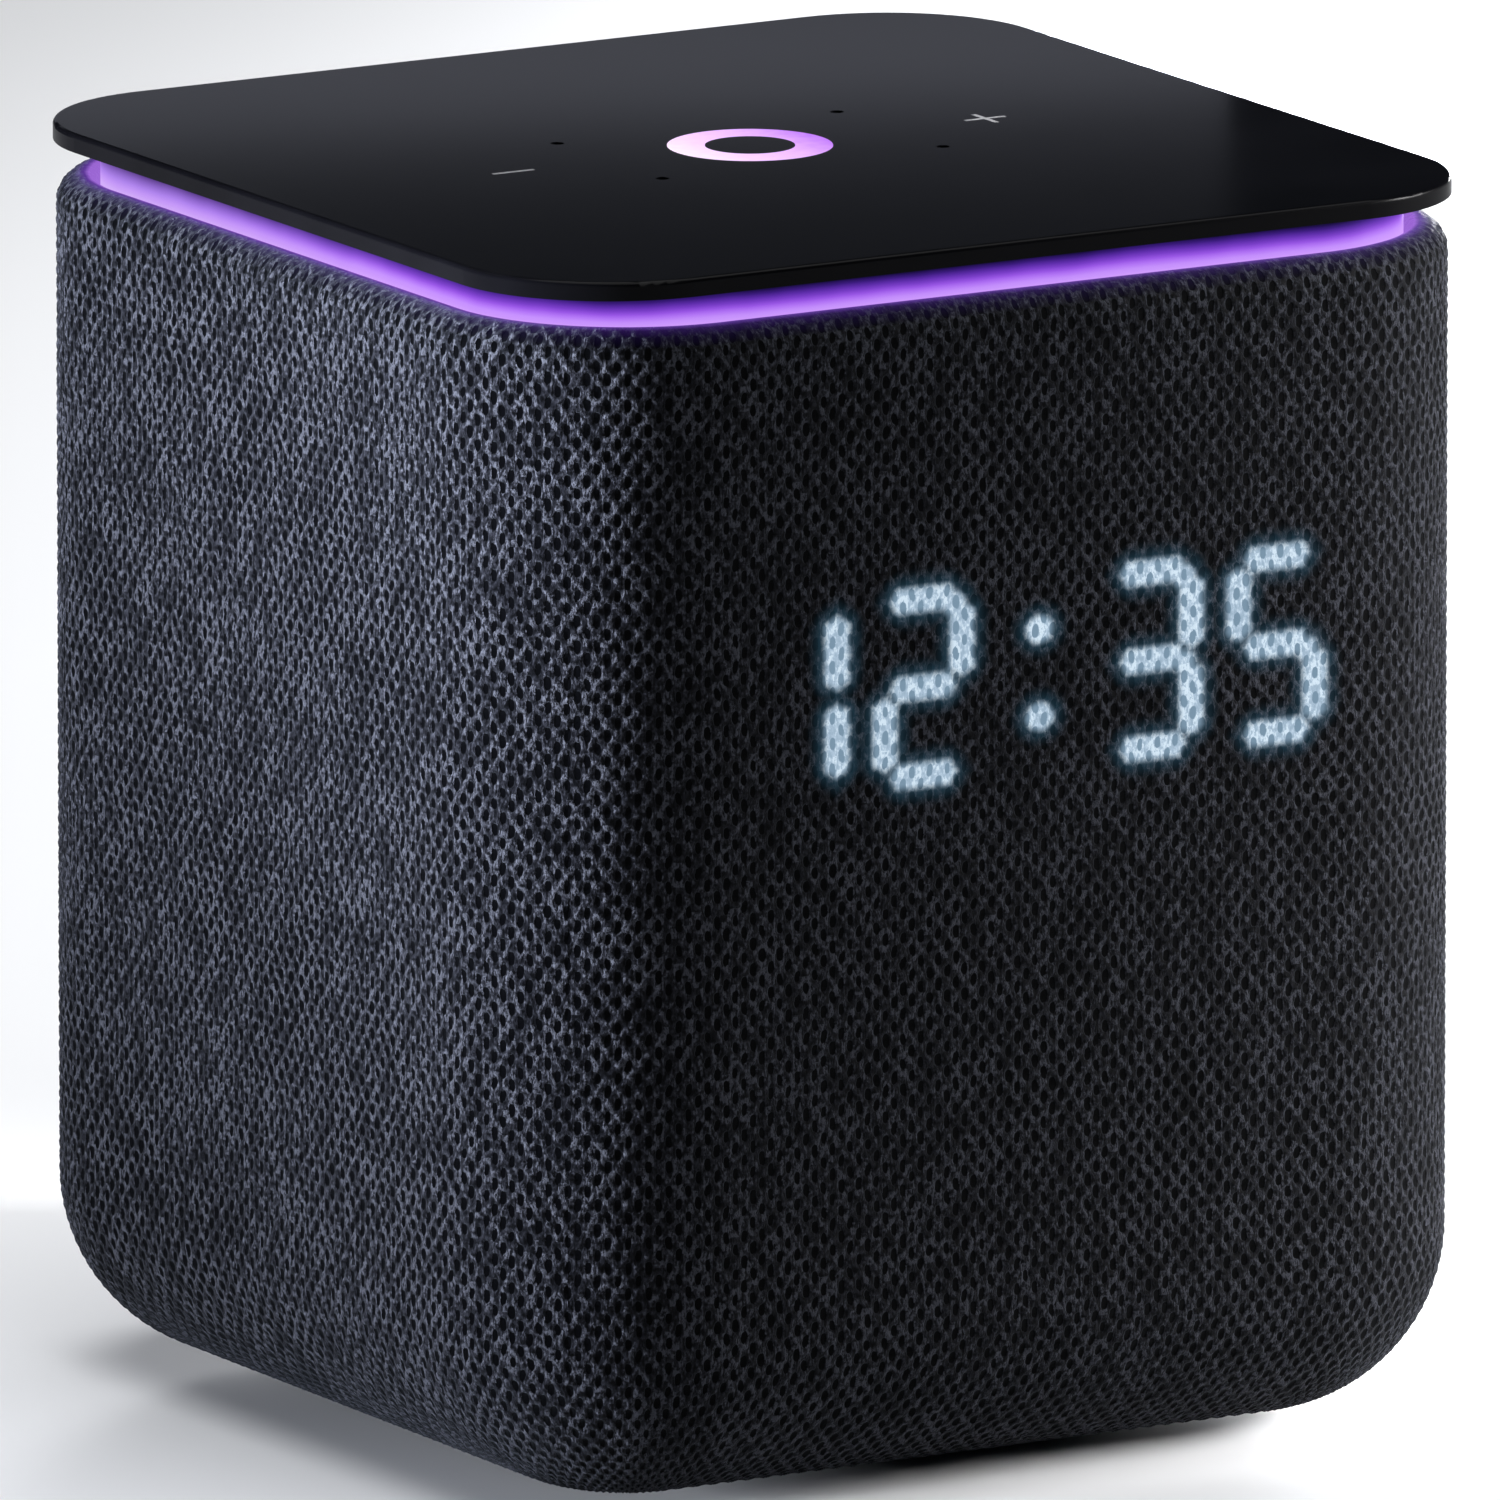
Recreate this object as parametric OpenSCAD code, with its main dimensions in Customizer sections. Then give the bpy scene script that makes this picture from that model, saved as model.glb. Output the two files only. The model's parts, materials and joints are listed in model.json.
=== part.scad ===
/* [Body] */
// Width and depth over the fabric cover
body_w = 120; // [118:1:126]
// Height from the foot to the top of the touch panel
body_h = 134; // [132:1:140]
// Radius of the four upright corners
corner_r = 23.5; // [23:0.5:26]
// Radius of the rounding between the sides and the underside
bottom_r = 20; // [19:0.5:20]
// Thickness of the knitted cover
fabric_t = 0.8; // [0.5:0.1:1]
// Thickness of the stiff grille shell under the cover
shell_t = 1.6; // [1.2:0.1:1.8]
// How far the rubber foot lifts the cover off the table
foot_h = 1; // [0.8:0.1:1.5]

/* [Top] */
// Thickness of the touch panel
panel_t = 2; // [1.6:0.1:2.4]
// Distance from the body's side in to the panel's edge
panel_inset = 1.4; // [1:0.1:3]
// Corner radius of the panel
panel_r = 17.5; // [16:0.5:22]
// Height of the lit gap between the cover's rim and the panel
band_gap = 3.4; // [3:0.1:5]
// Distance from the body's side in to the lit band
band_inset = 4.75; // [4.75:0.05:5]
// Outer radius of the lit ring at the middle of the panel
ring_r = 8.75; // [6:0.25:10]
// Distance of each volume key from the middle
key_x = 28.8; // [24:0.2:34]

/* [Display] */
// Height of the middle of the clock digits
display_z = 88; // [87:0.5:90]
// Height of a digit
digit_h = 21.6; // [20:0.2:22]
// Width of a digit
digit_w = 12.8; // [11:0.2:13]
// Width of a lit stroke
stroke = 4; // [3:0.1:4.2]

/* [Speakers] */
// Half the width of the woofer's square frame
woofer_half = 28.5; // [28:0.5:28.5]
// Height of the woofer's axis
woofer_z = 41.5; // [41:0.5:42]
// Travel of the woofer's cone each way
cone_travel = 3; // [2:0.5:3]
// Radius of a tweeter's dome
dome_r = 10; // [8:0.5:10]
// Height of the tweeters' axis
tweeter_z = 94.5; // [94:0.5:95]

/* [Rear panel] */
// Height of the middle of the rear panel
port_z = 34; // [33.5:0.5:35]
// Radius of the recess round the power socket
plug_recess_r = 5.5; // [5:0.25:6]
// Travel of the microphone button
button_travel = 0.6; // [0.3:0.1:0.7]

/* [Hidden] */
$fn = 96;

// Outer body
half = body_w / 2;
skirt_z = foot_h;
arc_z = skirt_z + bottom_r;
flat_w = body_w - 2 * bottom_r;
panel_z = body_h - panel_t;
rim_z = panel_z - band_gap;
rim_r = 3;
lip_r = 1.6;
lip_z = rim_z - 5.4;
fit_gap = 0.05;
shell_in = fabric_t + fit_gap;
shell_back = shell_in + shell_t;
bottom_open_r = 38;
shell_open_r = 34;

// Speaker enclosure
case_in = 5.5;
case_wall = 2.5;
case_top = display_z - digit_h / 2 - 5.8;
gasket_t = 0.6;
lid_t = 2.5;
deck_z = case_top + gasket_t + lid_t;
case_screw = half - 15;
baffle_y = half - 6.7;
frame_t = 2;
woofer_seal_t = 0.8;
woofer_seat_y = baffle_y - frame_t;
woofer_screw = woofer_half - 4.1;

// Upper chassis and top stack
chassis_t = 2;
chassis_top = rim_z - 16.4;
led_board_t = 1.6;
led_h = 1.4;
guide_t = 2.5;
guide_z = chassis_top + led_board_t + led_h + 0.4;
frame_in = band_inset + guide_t + 0.15;
deck2_z = panel_z - 8;
top_screw = half - 16.5;
board_z = deck_z + 9.5;
board_t = 1.6;
board_half_x = 36;
board_front = -38;
board_rear = 40;
mic_x = 17.1;
mic_y = 11;

// Display
mask_w = 74.4;
mask_h = digit_h + 3.2;
diffuser_y = half - fabric_t - 0.1;
mask_y = diffuser_y - 0.6;
mask_d = 7.5;
display_board_y = mask_y - mask_d;
digit_centres = [-29.2, -14.1, 13.8, 28.9];
colon_z = 4.6;

// Rear panel
port_w = 36;
port_h = 19;
port_face = half - 0.7;
port_back = half - 4;
jack_x = -9;
button_x = 9;
jack_face = half - 6.5;
port_board_y = half - 19;
button_r = 4;
button_face = port_face + button_travel;

// Woofer, from the frame's back face
roll_r = 2.4;
roll_t = 0.5;
cone_r = woofer_half - 6.9;
roll_mid = cone_r + roll_r;
frame_open_r = woofer_half - 3.1;
coil_r = 10;
neck_z = -8.4;
pole_r = 9.4;
gap_r = 10.9;
shelf_z = -11.5;
basket_r = 20;
basket_z = -16.5;
plate_t = 3;
coil_h = plate_t + cone_travel;
former_low = coil_h / 2 + 3;
magnet_t = former_low - plate_t / 2 + cone_travel + 0.5;
magnet_r = 21;

// Screws
screw_r = 1.25;
pilot_r = screw_r + 0.02;
small_screw_r = 0.85;
board_screw_x = 32;
board_screw_y = [-34, 36];
port_screw_x = 13.5;
port_screw_z = port_z - 7;

// ---------- 2D shapes ----------

// Rectangle with true round corners
module rounded_rect(w, d, r) {
    square([w, d - 2 * r], center = true);
    square([w - 2 * r, d], center = true);
    for (sx = [-1, 1], sy = [-1, 1])
        translate([sx * (w / 2 - r), sy * (d / 2 - r)]) circle(r);
}

// The body's outline, moved inwards
module outline(inset) {
    rounded_rect(body_w - 2 * inset, body_w - 2 * inset, corner_r - inset);
}

// Quarter of a disc; start turns it anticlockwise from the first quadrant
module quarter(r, start = 0) {
    intersection() {
        circle(r);
        rotate(start) square(r + 1);
    }
}

// Quarter of a ring
module quarter_ring(r, t, start = 0) {
    difference() {
        quarter(r, start);
        circle(r - t);
    }
}

// Section from x0 to x1 between two heights
module band(x0, x1, z0, z1) {
    translate([x0, z0]) square([x1 - x0, z1 - z0]);
}

// ---------- 3D helpers ----------

// Carries a section round the body: x is the distance outwards from the side, y the height
module around_body() {
    side = half - corner_r;
    for (turn = [0:90:270]) rotate(turn) {
        translate([side, side]) rotate_extrude(angle = 90) translate([corner_r, 0]) children();
        translate([half, side, 0]) rotate([90, 0, 0]) linear_extrude(2 * side) children();
    }
}

// Solid bowl with the body's shape, moved inwards, from its rounded floor up to a height
module bowl(inset, top) {
    around_body() translate([-bottom_r, arc_z]) {
        quarter(bottom_r - inset, -90);
        square([bottom_r - inset, top - arc_z]);
    }
    translate([0, 0, skirt_z + inset]) linear_extrude(top - skirt_z - inset)
        rounded_rect(flat_w, flat_w, corner_r - bottom_r);
}

// Flat slab with the body's outline
module slab(inset, z, t) {
    translate([0, 0, z]) linear_extrude(t) outline(inset);
}

// Box given by its low corner and its high corner
module block(low, high) {
    translate(low) cube(high - low);
}

// Four places in a square pattern
module four(x, y) {
    for (sx = [-1, 1], sy = [-1, 1]) translate([sx * x, sy * y, 0]) children();
}

// Disc or tube standing on a height
module tube(r, z0, z1, bore = 0) {
    translate([0, 0, z0]) difference() {
        cylinder(r = r, h = z1 - z0);
        if (bore > 0) translate([0, 0, -1]) cylinder(r = bore, h = z1 - z0 + 2);
    }
}

// Screw with a pan head and a cross recess; the head stands on z = 0, the shank goes down
module screw(shank, r = screw_r, head_r = 2.4, head_h = 1.5) {
    difference() {
        cylinder(r = head_r, h = head_h);
        for (turn = [0, 90]) rotate(turn) translate([-head_r * 0.6, -0.3, head_h - 0.8])
            cube([head_r * 1.2, 0.6, 1]);
    }
    translate([0, 0, -shank]) cylinder(r = r, h = shank);
}

// The four screws of the main board
module at_board_screws() {
    for (x = [-board_screw_x, board_screw_x], y = board_screw_y) translate([x, y, 0]) children();
}

// The two screws of the port board, with z pointing out through the back
module at_port_screws() {
    for (x = [-port_screw_x, port_screw_x]) translate([x, 0, port_screw_z]) rotate([-90, 0, 0]) children();
}

// The woofer's frame of reference: z points out through the front, 0 is the frame's back face
module at_woofer() {
    translate([0, -woofer_seat_y, woofer_z]) rotate([90, 0, 0]) children();
}

// A tweeter's frame of reference: z points out through the side, 0 is the chassis's inner face
module at_tweeter(side) {
    translate([side * (half - case_in - chassis_t), 0, tweeter_z]) rotate([0, side * 90, 0]) children();
}

// The rear panel's frame of reference: z points out through the back, x to the right from the front
module at_rear(x) {
    translate([x, 0, port_z]) rotate([-90, 0, 0]) children();
}

// Pill-shaped plate across the rear panel, from one depth to another
module port_pill(grow, y0, y1) {
    round = port_h / 2 + grow;
    mid = (port_w - port_h) / 2;
    at_rear(0) translate([0, 0, y0]) linear_extrude(y1 - y0) {
        square([2 * mid, 2 * round], center = true);
        for (x = [-mid, mid]) translate([x, 0]) circle(round);
    }
}

// ---------- Top ----------

module top_panel() {
    w = body_w - 2 * panel_inset;
    edge = 0.5;
    color("#15161a") difference() {
        union() {
            translate([0, 0, panel_z]) linear_extrude(panel_t - edge) rounded_rect(w, w, panel_r);
            translate([0, 0, body_h - edge]) linear_extrude(edge)
                rounded_rect(w - 2 * edge, w - 2 * edge, panel_r - edge);
            panel_edge(w / 2, edge);
        }
        tube(ring_r + fit_gap, panel_z - 1, body_h + 1);
        volume_bars(0.02);
        four(mic_x, mic_y) tube(0.75, panel_z - 1, body_h + 1);
    }
}

// Quarter-round edge round the top of the panel
module panel_edge(w, edge) {
    side = w - panel_r;
    for (turn = [0:90:270]) rotate(turn) {
        translate([side, side, body_h - edge]) rotate_extrude(angle = 90)
            translate([panel_r - edge, 0]) quarter(edge);
        translate([w - edge, side, body_h - edge]) rotate([90, 0, 0]) linear_extrude(2 * side)
            quarter(edge);
    }
}

// The bars of the minus and plus signs, in the panel's surface
module volume_bars(grow) {
    depth = 0.3;
    long = 5 + 2 * grow;
    thin = 0.6 + 2 * grow;
    for (x = [-key_x, key_x]) translate([x - long / 2, -thin / 2, body_h - depth]) cube([long, thin, 1]);
    translate([key_x - thin / 2, -long / 2, body_h - depth]) cube([thin, long, 1]);
}

module volume_marks() {
    color("#8f9096") intersection() {
        volume_bars(0);
        slab(10, body_h - 1, 1);
    }
}

module ring_light_pipe() {
    color("#e9b5ff") {
        tube(ring_r, panel_z - 3.6, panel_z - 2);
        tube(ring_r, panel_z - 2, body_h, ring_r * 0.55);
    }
}

module ring_centre_cap() {
    color("#15161a") tube(ring_r * 0.55 - fit_gap, panel_z - 2, body_h);
}

module touch_board() {
    color("#1f6b46") difference() {
        slab(11, panel_z - board_t, board_t);
        tube(ring_r + 0.6, panel_z - 3, panel_z + 1);
        four(mic_x, mic_y) tube(0.5, panel_z - 3, panel_z + 1);
        four(top_screw - 5, top_screw - 5) tube(1.6, panel_z - 3, panel_z + 1);
    }
}

module ring_light_board() {
    color("#1f6b46") tube(11, deck2_z + 2, deck2_z + 3);
    color("#f3efe2") for (turn = [0:60:300]) rotate(turn)
        translate([5, -1.4, deck2_z + 3]) cube([2.8, 2.8, 0.9]);
}

module microphones() {
    color("#c9b27a") four(mic_x, mic_y)
        block([-1.75, -1.35, panel_z - board_t - 1], [1.75, 1.35, panel_z - board_t]);
}

module top_frame() {
    color("#202125") difference() {
        union() {
            around_body() {
                band(-frame_in - 2.4, -frame_in, chassis_top + led_board_t, panel_z - 0.1);
                band(-16, -frame_in, chassis_top + led_board_t, chassis_top + led_board_t + 2);
            }
            slab(frame_in + 1, deck2_z, 2);
            four(top_screw - 5, top_screw - 5) tube(3, deck2_z + 1, panel_z - board_t);
        }
        four(top_screw, top_screw) tube(1.6, chassis_top, chassis_top + 10);
        four(top_screw - 5, top_screw - 5) tube(pilot_r, deck2_z + 2.5, panel_z);
        block([-8, 32, deck2_z - 1], [8, 37, deck2_z + 3]);
        four(top_screw, top_screw) tube(3.2, deck2_z - 1, deck2_z + 3);
    }
}

module band_light_guide() {
    color("#b98cff") around_body() band(-band_inset - guide_t, -band_inset, guide_z, panel_z);
}

module band_led_board() {
    color("#e8e8e4") difference() {
        around_body() band(-16, -case_in + 0.3, chassis_top, chassis_top + led_board_t);
        four(top_screw, top_screw) tube(1.6, chassis_top - 1, chassis_top + 3);
    }
}

// Light-emitting diodes under the band, six to a side and one on each corner
module band_leds() {
    mid = band_inset + guide_t / 2;
    arc = (corner_r - mid) * sin(45);
    led = [3.2, 2.4, led_h];
    color("#f3efe2") translate([0, 0, chassis_top + led_board_t]) for (turn = [0:90:270]) rotate(turn) {
        for (x = [-30:12:30]) translate([x - led.x / 2, half - mid - led.y / 2, 0]) cube(led);
        translate([half - corner_r + arc, half - corner_r + arc, 0]) rotate(-45)
            translate([-led.x / 2, -led.y / 2, 0]) cube(led);
    }
}

// ---------- Cover and shell ----------

module fabric_cover() {
    color("#3a3d44") difference() {
        union() {
            around_body() {
                translate([-bottom_r, arc_z]) quarter_ring(bottom_r, fabric_t, -90);
                band(-fabric_t, 0, arc_z, rim_z - rim_r);
                translate([-rim_r, rim_z - rim_r]) quarter_ring(rim_r, fabric_t, 0);
                translate([-rim_r, rim_z - lip_r]) quarter_ring(lip_r, fabric_t, 90);
                band(-rim_r - lip_r, -rim_r - lip_r + fabric_t, lip_z, rim_z - lip_r);
            }
            translate([0, 0, skirt_z]) linear_extrude(fabric_t)
                rounded_rect(flat_w, flat_w, corner_r - bottom_r);
        }
        tube(bottom_open_r, 0, 10);
        port_pill(0.15, half - 3, half + 1);
    }
}

module grille_shell() {
    bead_in = rim_r + lip_r - fabric_t - fit_gap;
    color("#2b2c30") difference() {
        union() {
            around_body() {
                translate([-bottom_r, arc_z]) quarter_ring(bottom_r - shell_in, shell_t, -90);
                band(-shell_back, -shell_in, arc_z, rim_z - rim_r);
                translate([-rim_r, rim_z - rim_r]) quarter(rim_r - shell_in, 0);
                translate([-rim_r, rim_z - lip_r]) quarter(lip_r - shell_in, 90);
                band(-bead_in, -rim_r, lip_z, rim_z - lip_r);
                band(-rim_r, -shell_back, lip_z, rim_z - rim_r);
            }
            translate([0, 0, skirt_z + shell_in]) linear_extrude(shell_t)
                rounded_rect(flat_w, flat_w, corner_r - bottom_r);
        }
        tube(shell_open_r, 0, 10);
        port_pill(0.15, half - 4, half + 1);
        block([-mask_w / 2 - 0.3, -half - 1, display_z - mask_h / 2 - 0.3],
              [mask_w / 2 + 0.3, -half + 6, display_z + mask_h / 2 + 0.3]);
        for (x = [-24:4:24]) sound_slot(x, sqrt(pow(26, 2) - x * x));
        for (side = [-1, 1], y = [-8:4:8]) translate([0, 0, tweeter_z])
            block([side > 0 ? half - 6 : -half - 1, y - 1.1, -sqrt(144 - y * y)],
                  [side > 0 ? half + 1 : -half + 6, y + 1.1, sqrt(144 - y * y)]);
    }
}

// Upright slot in front of the woofer
module sound_slot(x, reach) {
    block([x - 1.1, -half - 1, woofer_z - reach], [x + 1.1, -half + 12, woofer_z + reach]);
}

// ---------- Clock display ----------

module display_diffuser() {
    color("#d7dbe4") block([-mask_w / 2, -diffuser_y, display_z - mask_h / 2],
                           [mask_w / 2, -mask_y, display_z + mask_h / 2]);
}

// One stroke of a digit, with pointed ends
module stroke_shape(length) {
    tip = length / 2 - 0.35;
    flat = tip - stroke / 2;
    polygon([[-tip, 0], [-flat, stroke / 2], [flat, stroke / 2],
             [tip, 0], [flat, -stroke / 2], [-flat, -stroke / 2]]);
}

// Places children at the seven strokes of a digit, with the stroke's length and whether it stands up
module digit_strokes() {
    dx = (digit_w - stroke) / 2;
    dz = (digit_h - stroke) / 2;
    for (z = [-dz, 0, dz]) translate([0, z]) stroke_shape(2 * dx);
    for (sx = [-1, 1], sz = [-1, 1]) translate([sx * dx, sz * dz / 2]) rotate(90) stroke_shape(dz);
}

module display_mask() {
    color("#101114") difference() {
        block([-mask_w / 2, -mask_y, display_z - mask_h / 2],
              [mask_w / 2, -mask_y + mask_d, display_z + mask_h / 2]);
        translate([0, -mask_y + mask_d + 1, display_z]) rotate([90, 0, 0]) linear_extrude(mask_d + 2) {
            for (x = digit_centres) translate([x, 0]) digit_strokes();
            for (z = [-colon_z, colon_z]) translate([0, z]) circle(stroke / 2);
        }
    }
}

module display_board() {
    color("#1f6b46") block([-40, -display_board_y, display_z - mask_h / 2 + 0.2],
                           [40, -display_board_y + board_t, display_z + mask_h / 2 + 1.5]);
}

module display_leds() {
    dx = (digit_w - stroke) / 2;
    dz = (digit_h - stroke) / 2;
    color("#f3efe2") translate([0, -display_board_y - 1, display_z]) {
        for (x = digit_centres) translate([x, 0, 0]) {
            for (z = [-dz, 0, dz]) translate([-1, 0, z - 0.6]) cube([2, 1, 1.2]);
            for (sx = [-1, 1], sz = [-1, 1]) translate([sx * dx - 0.6, 0, sz * dz / 2 - 1]) cube([1.2, 1, 2]);
        }
        for (z = [-colon_z, colon_z]) translate([-0.8, 0, z - 0.8]) cube([1.6, 1, 1.6]);
    }
}

// ---------- Upper chassis and tweeters ----------

module upper_chassis() {
    pad = display_board_y - board_t;
    color("#2b2c30") difference() {
        union() {
            around_body() {
                band(-case_in - chassis_t, -case_in, deck_z, chassis_top);
                band(-16, -case_in, deck_z, deck_z + 2);
                band(-16, -case_in, chassis_top - 2, chassis_top);
            }
            four(top_screw, top_screw) tube(3.2, chassis_top - 12, chassis_top - 1);
            for (side = [-1, 1]) block([side * 39 - 1, -half + case_in + 1, display_z - 6],
                                       [side * 39 + 1, -display_board_y, display_z + 6]);
        }
        block([-mask_w / 2 - 0.4, -half, deck_z - 1],
              [mask_w / 2 + 0.4, -half + 9, display_z + mask_h / 2 + 0.4]);
        block([-41, -display_board_y - 0.1, deck_z - 1], [41, -half + 20, deck_z + 3]);
        for (side = [-1, 1]) at_tweeter(side) tube(dome_r + 2.2, -1, 5);
        four(case_screw, case_screw) tube(1.6, deck_z - 1, deck_z + 3);
        four(top_screw, top_screw) tube(pilot_r, chassis_top - 10, chassis_top + 1);
        block([-8, half - 17, deck_z - 1], [8, half - case_in - chassis_t, deck_z + 3]);
        block([-8, half - 9, deck_z - 1], [8, half, deck_z + 14]);
    }
}

module tweeter_body(side) {
    color("#1b1c1f") at_tweeter(side) {
        difference() {
            union() {
                tube(15, -2, -0.5);
                tube(13.5, -14, -2);
            }
            tube(dome_r + 1.2, -4, 0);
            tube(8.2, -12, 0);
        }
        tube(6.2, -12, -4.6);
    }
}

module left_tweeter_body() tweeter_body(-1);

module right_tweeter_body() tweeter_body(1);

// Dome with its voice coil; the dome is a thin cap of a sphere
module tweeter_dome(side) {
    rise = 3.2;
    ball = (dome_r * dome_r + rise * rise) / (2 * rise);
    skin = 0.35;
    color("#b9bcc4") at_tweeter(side) {
        rotate_extrude() intersection() {
            translate([0, rise - ball - 0.6]) difference() {
                circle(ball);
                circle(ball - skin);
            }
            band(0, dome_r, -0.9, rise);
        }
        tube(7.4, -9, -0.55 + rise * 0.4, 7);
    }
}

module left_tweeter_dome() tweeter_dome(-1);

module right_tweeter_dome() tweeter_dome(1);

// Thin rolls that carry the domes in their rims
module tweeter_suspensions() {
    roll = 0.9;
    color("#1a1a1c") for (side = [-1, 1]) at_tweeter(side) rotate_extrude() {
        translate([dome_r + roll, -0.5]) quarter_ring(roll, 0.3, 0);
        translate([dome_r + roll, -0.5]) quarter_ring(roll, 0.3, 90);
        band(dome_r + 2 * roll - 0.3, dome_r + 2 * roll + 0.1, -0.5, -0.2);
    }
}

module tweeter_gaskets() {
    color("#111111") for (side = [-1, 1]) at_tweeter(side) tube(15, -0.5, 0, dome_r + 2);
}

// ---------- Electronics ----------

module main_board() {
    color("#1f6b46") difference() {
        block([-board_half_x, board_front, board_z], [board_half_x, board_rear, board_z + board_t]);
        at_board_screws() tube(1.6, board_z - 1, board_z + 3);
    }
}

module shield_can() {
    top = board_z + board_t;
    color("#c8cbd0") difference() {
        block([-28, -20, top], [0, 8, top + 3]);
        block([-27.6, -19.6, top - 1], [-0.4, 7.6, top + 2.7]);
    }
}

module heat_sink() {
    foot = board_z + board_t + 3;
    color("#a9adb3") {
        block([-26, -18, foot], [-2, 6, foot + 2]);
        for (x = [-26:3.8:-2]) block([x, -18, foot + 2], [x + 1.2, 6, foot + 11]);
    }
}

module power_capacitors() {
    top = board_z + board_t;
    color("#26282c") for (y = [14, 24]) translate([27, y, 0]) tube(4, top, top + 11);
    color("#26282c") translate([18, 31, 0]) tube(3.2, top, top + 9);
}

module board_chips() {
    top = board_z + board_t;
    color("#17181b") {
        block([8, -22, top], [17, -13, top + 1.2]);
        block([12, -4, top], [19, 3, top + 1.2]);
        for (y = [8, 17]) block([6, y, top], [13, y + 7, top + 4]);
        block([-24, 20, top], [-14, 27, top + 1.5]);
    }
}

module board_connectors() {
    top = board_z + board_t;
    color("#efe9d8") {
        block([-8, -37, top], [8, -33, top + 2]);
        block([-8, 32, top], [8, 36, top + 2]);
        for (side = [-1, 1]) block([side * 33 - 2, -4, top], [side * 33 + 2, 4, top + 5]);
        translate([0, -display_board_y + board_t, display_z]) block([-8, 0, -2], [8, 2, 2]);
    }
}

module antennas() {
    inner = half - case_in - chassis_t;
    color("#c58a4a") for (side = [-1, 1])
        block([side * 21 - 9, inner - 0.3, chassis_top - 20], [side * 21 + 9, inner, chassis_top - 8]);
}

// Flat cables from the main board up to the touch board and forward to the display board
module flat_cables() {
    low = board_z + board_t + 2;
    front = -display_board_y + board_t + 2;
    color("#d9d4c3") {
        block([-6, 34, low], [6, 34.3, panel_z - board_t]);
        block([-6, front, display_z - 0.15], [6, -35, display_z + 0.15]);
        block([-6, -35, low], [6, -34.7, display_z + 0.15]);
    }
}

// Flat cable up the back of the enclosure, from the port board to the main board
module power_ribbon_cable() {
    gap_y = half - case_in + 0.8;
    color("#2a2a2d") {
        block([-5, port_board_y + board_t, port_z + 7], [5, gap_y + 0.5, port_z + 7.5]);
        block([-5, gap_y, port_z + 7.5], [5, gap_y + 0.5, board_z + 3]);
        block([-5, board_rear - 3, board_z + 3], [5, gap_y + 0.5, board_z + 3.5]);
        block([-5, board_rear - 3.5, board_z + board_t], [5, board_rear - 3, board_z + 3.5]);
    }
}

// Wires from the woofer's terminals and from both tweeters to the main board
module speaker_leads() {
    wire = 0.7;
    back = half - case_in - chassis_t - 14;
    color("#b3262b") {
        for (x = [-3.5, 3.5]) translate([x, -36, 0]) tube(wire, woofer_z + 24, board_z);
        for (side = [-1, 1], y = [-2, 2]) {
            translate([side * 33, y, 0]) tube(wire, board_z + board_t + 5, tweeter_z + wire);
            translate([side * 33, y, tweeter_z]) rotate([0, side * 90, 0]) cylinder(r = wire, h = back - 33);
        }
    }
}

module lead_grommet() {
    color("#111111") translate([0, -36, 0]) difference() {
        union() {
            tube(5.6, case_top + gasket_t, deck_z);
            tube(7, deck_z, deck_z + 1);
        }
        for (x = [-3.5, 3.5]) translate([x, 0, 0]) tube(0.72, case_top - 1, deck_z + 3);
    }
}

// ---------- Enclosure ----------

// Hollow of the enclosure, with the thick baffle, the rear pocket and the corner posts left standing
module enclosure_hollow() {
    difference() {
        bowl(case_in + case_wall, case_top + 1);
        block([-34, -half, 0], [34, -baffle_y + 7, case_top + 2]);
        block([-20, port_board_y - 5, port_z - 12], [20, half, port_z + 12]);
        four(case_screw, case_screw) tube(4, case_top - 24, case_top + 2);
    }
}

module enclosure_body() {
    recess_y = woofer_seat_y - woofer_seal_t;
    color("#33353a") difference() {
        union() {
            bowl(case_in, case_top);
            intersection() {
                bowl(case_in - 2.5, case_top);
                block([-32, -half + case_in, 0], [32, -baffle_y + 6, case_top]);
            }
        }
        enclosure_hollow();
        at_woofer() {
            translate([0, 0, -woofer_seal_t]) linear_extrude(12)
                rounded_rect(2 * woofer_half + 0.6, 2 * woofer_half + 0.6, 6.3);
            tube(frame_open_r, -20, 1);
            four(woofer_screw, woofer_screw) tube(pilot_r, -4.5, 1);
        }
        block([-17.5, port_board_y - 3, port_z - 9.5], [17.5, half, port_z + 9.5]);
        at_port_screws() tube(small_screw_r + 0.02, port_board_y - 4.5, half);
        four(case_screw, case_screw) tube(pilot_r, case_top - 18, case_top + 1);
        four(base_screw(), base_screw()) tube(pilot_r, skirt_z + case_in - 1, skirt_z + case_in + 2);
    }
    color("#33353a") at_port_screws() tube(2.2, port_board_y - 3, port_board_y, small_screw_r + 0.02);
}

module enclosure_gasket() {
    color("#111111") around_body()
        band(-case_in - case_wall, -case_in, case_top, case_top + gasket_t);
}

module enclosure_lid() {
    color("#33353a") difference() {
        union() {
            slab(case_in, case_top + gasket_t, lid_t);
            at_board_screws() tube(3, deck_z - 1, board_z);
        }
        four(case_screw, case_screw) tube(1.6, case_top, deck_z + 1);
        at_board_screws() tube(pilot_r, deck_z + 1, board_z + 1);
        translate([0, -36, 0]) tube(5.6 + fit_gap, case_top, deck_z + 1);
    }
}

// ---------- Woofer ----------

module woofer_gasket() {
    color("#111111") at_woofer() difference() {
        translate([0, 0, -woofer_seal_t]) linear_extrude(woofer_seal_t)
            rounded_rect(2 * woofer_half, 2 * woofer_half, 6);
        tube(frame_open_r + 0.5, -2, 1);
        four(woofer_screw, woofer_screw) tube(1.6, -2, 1);
    }
}

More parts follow.
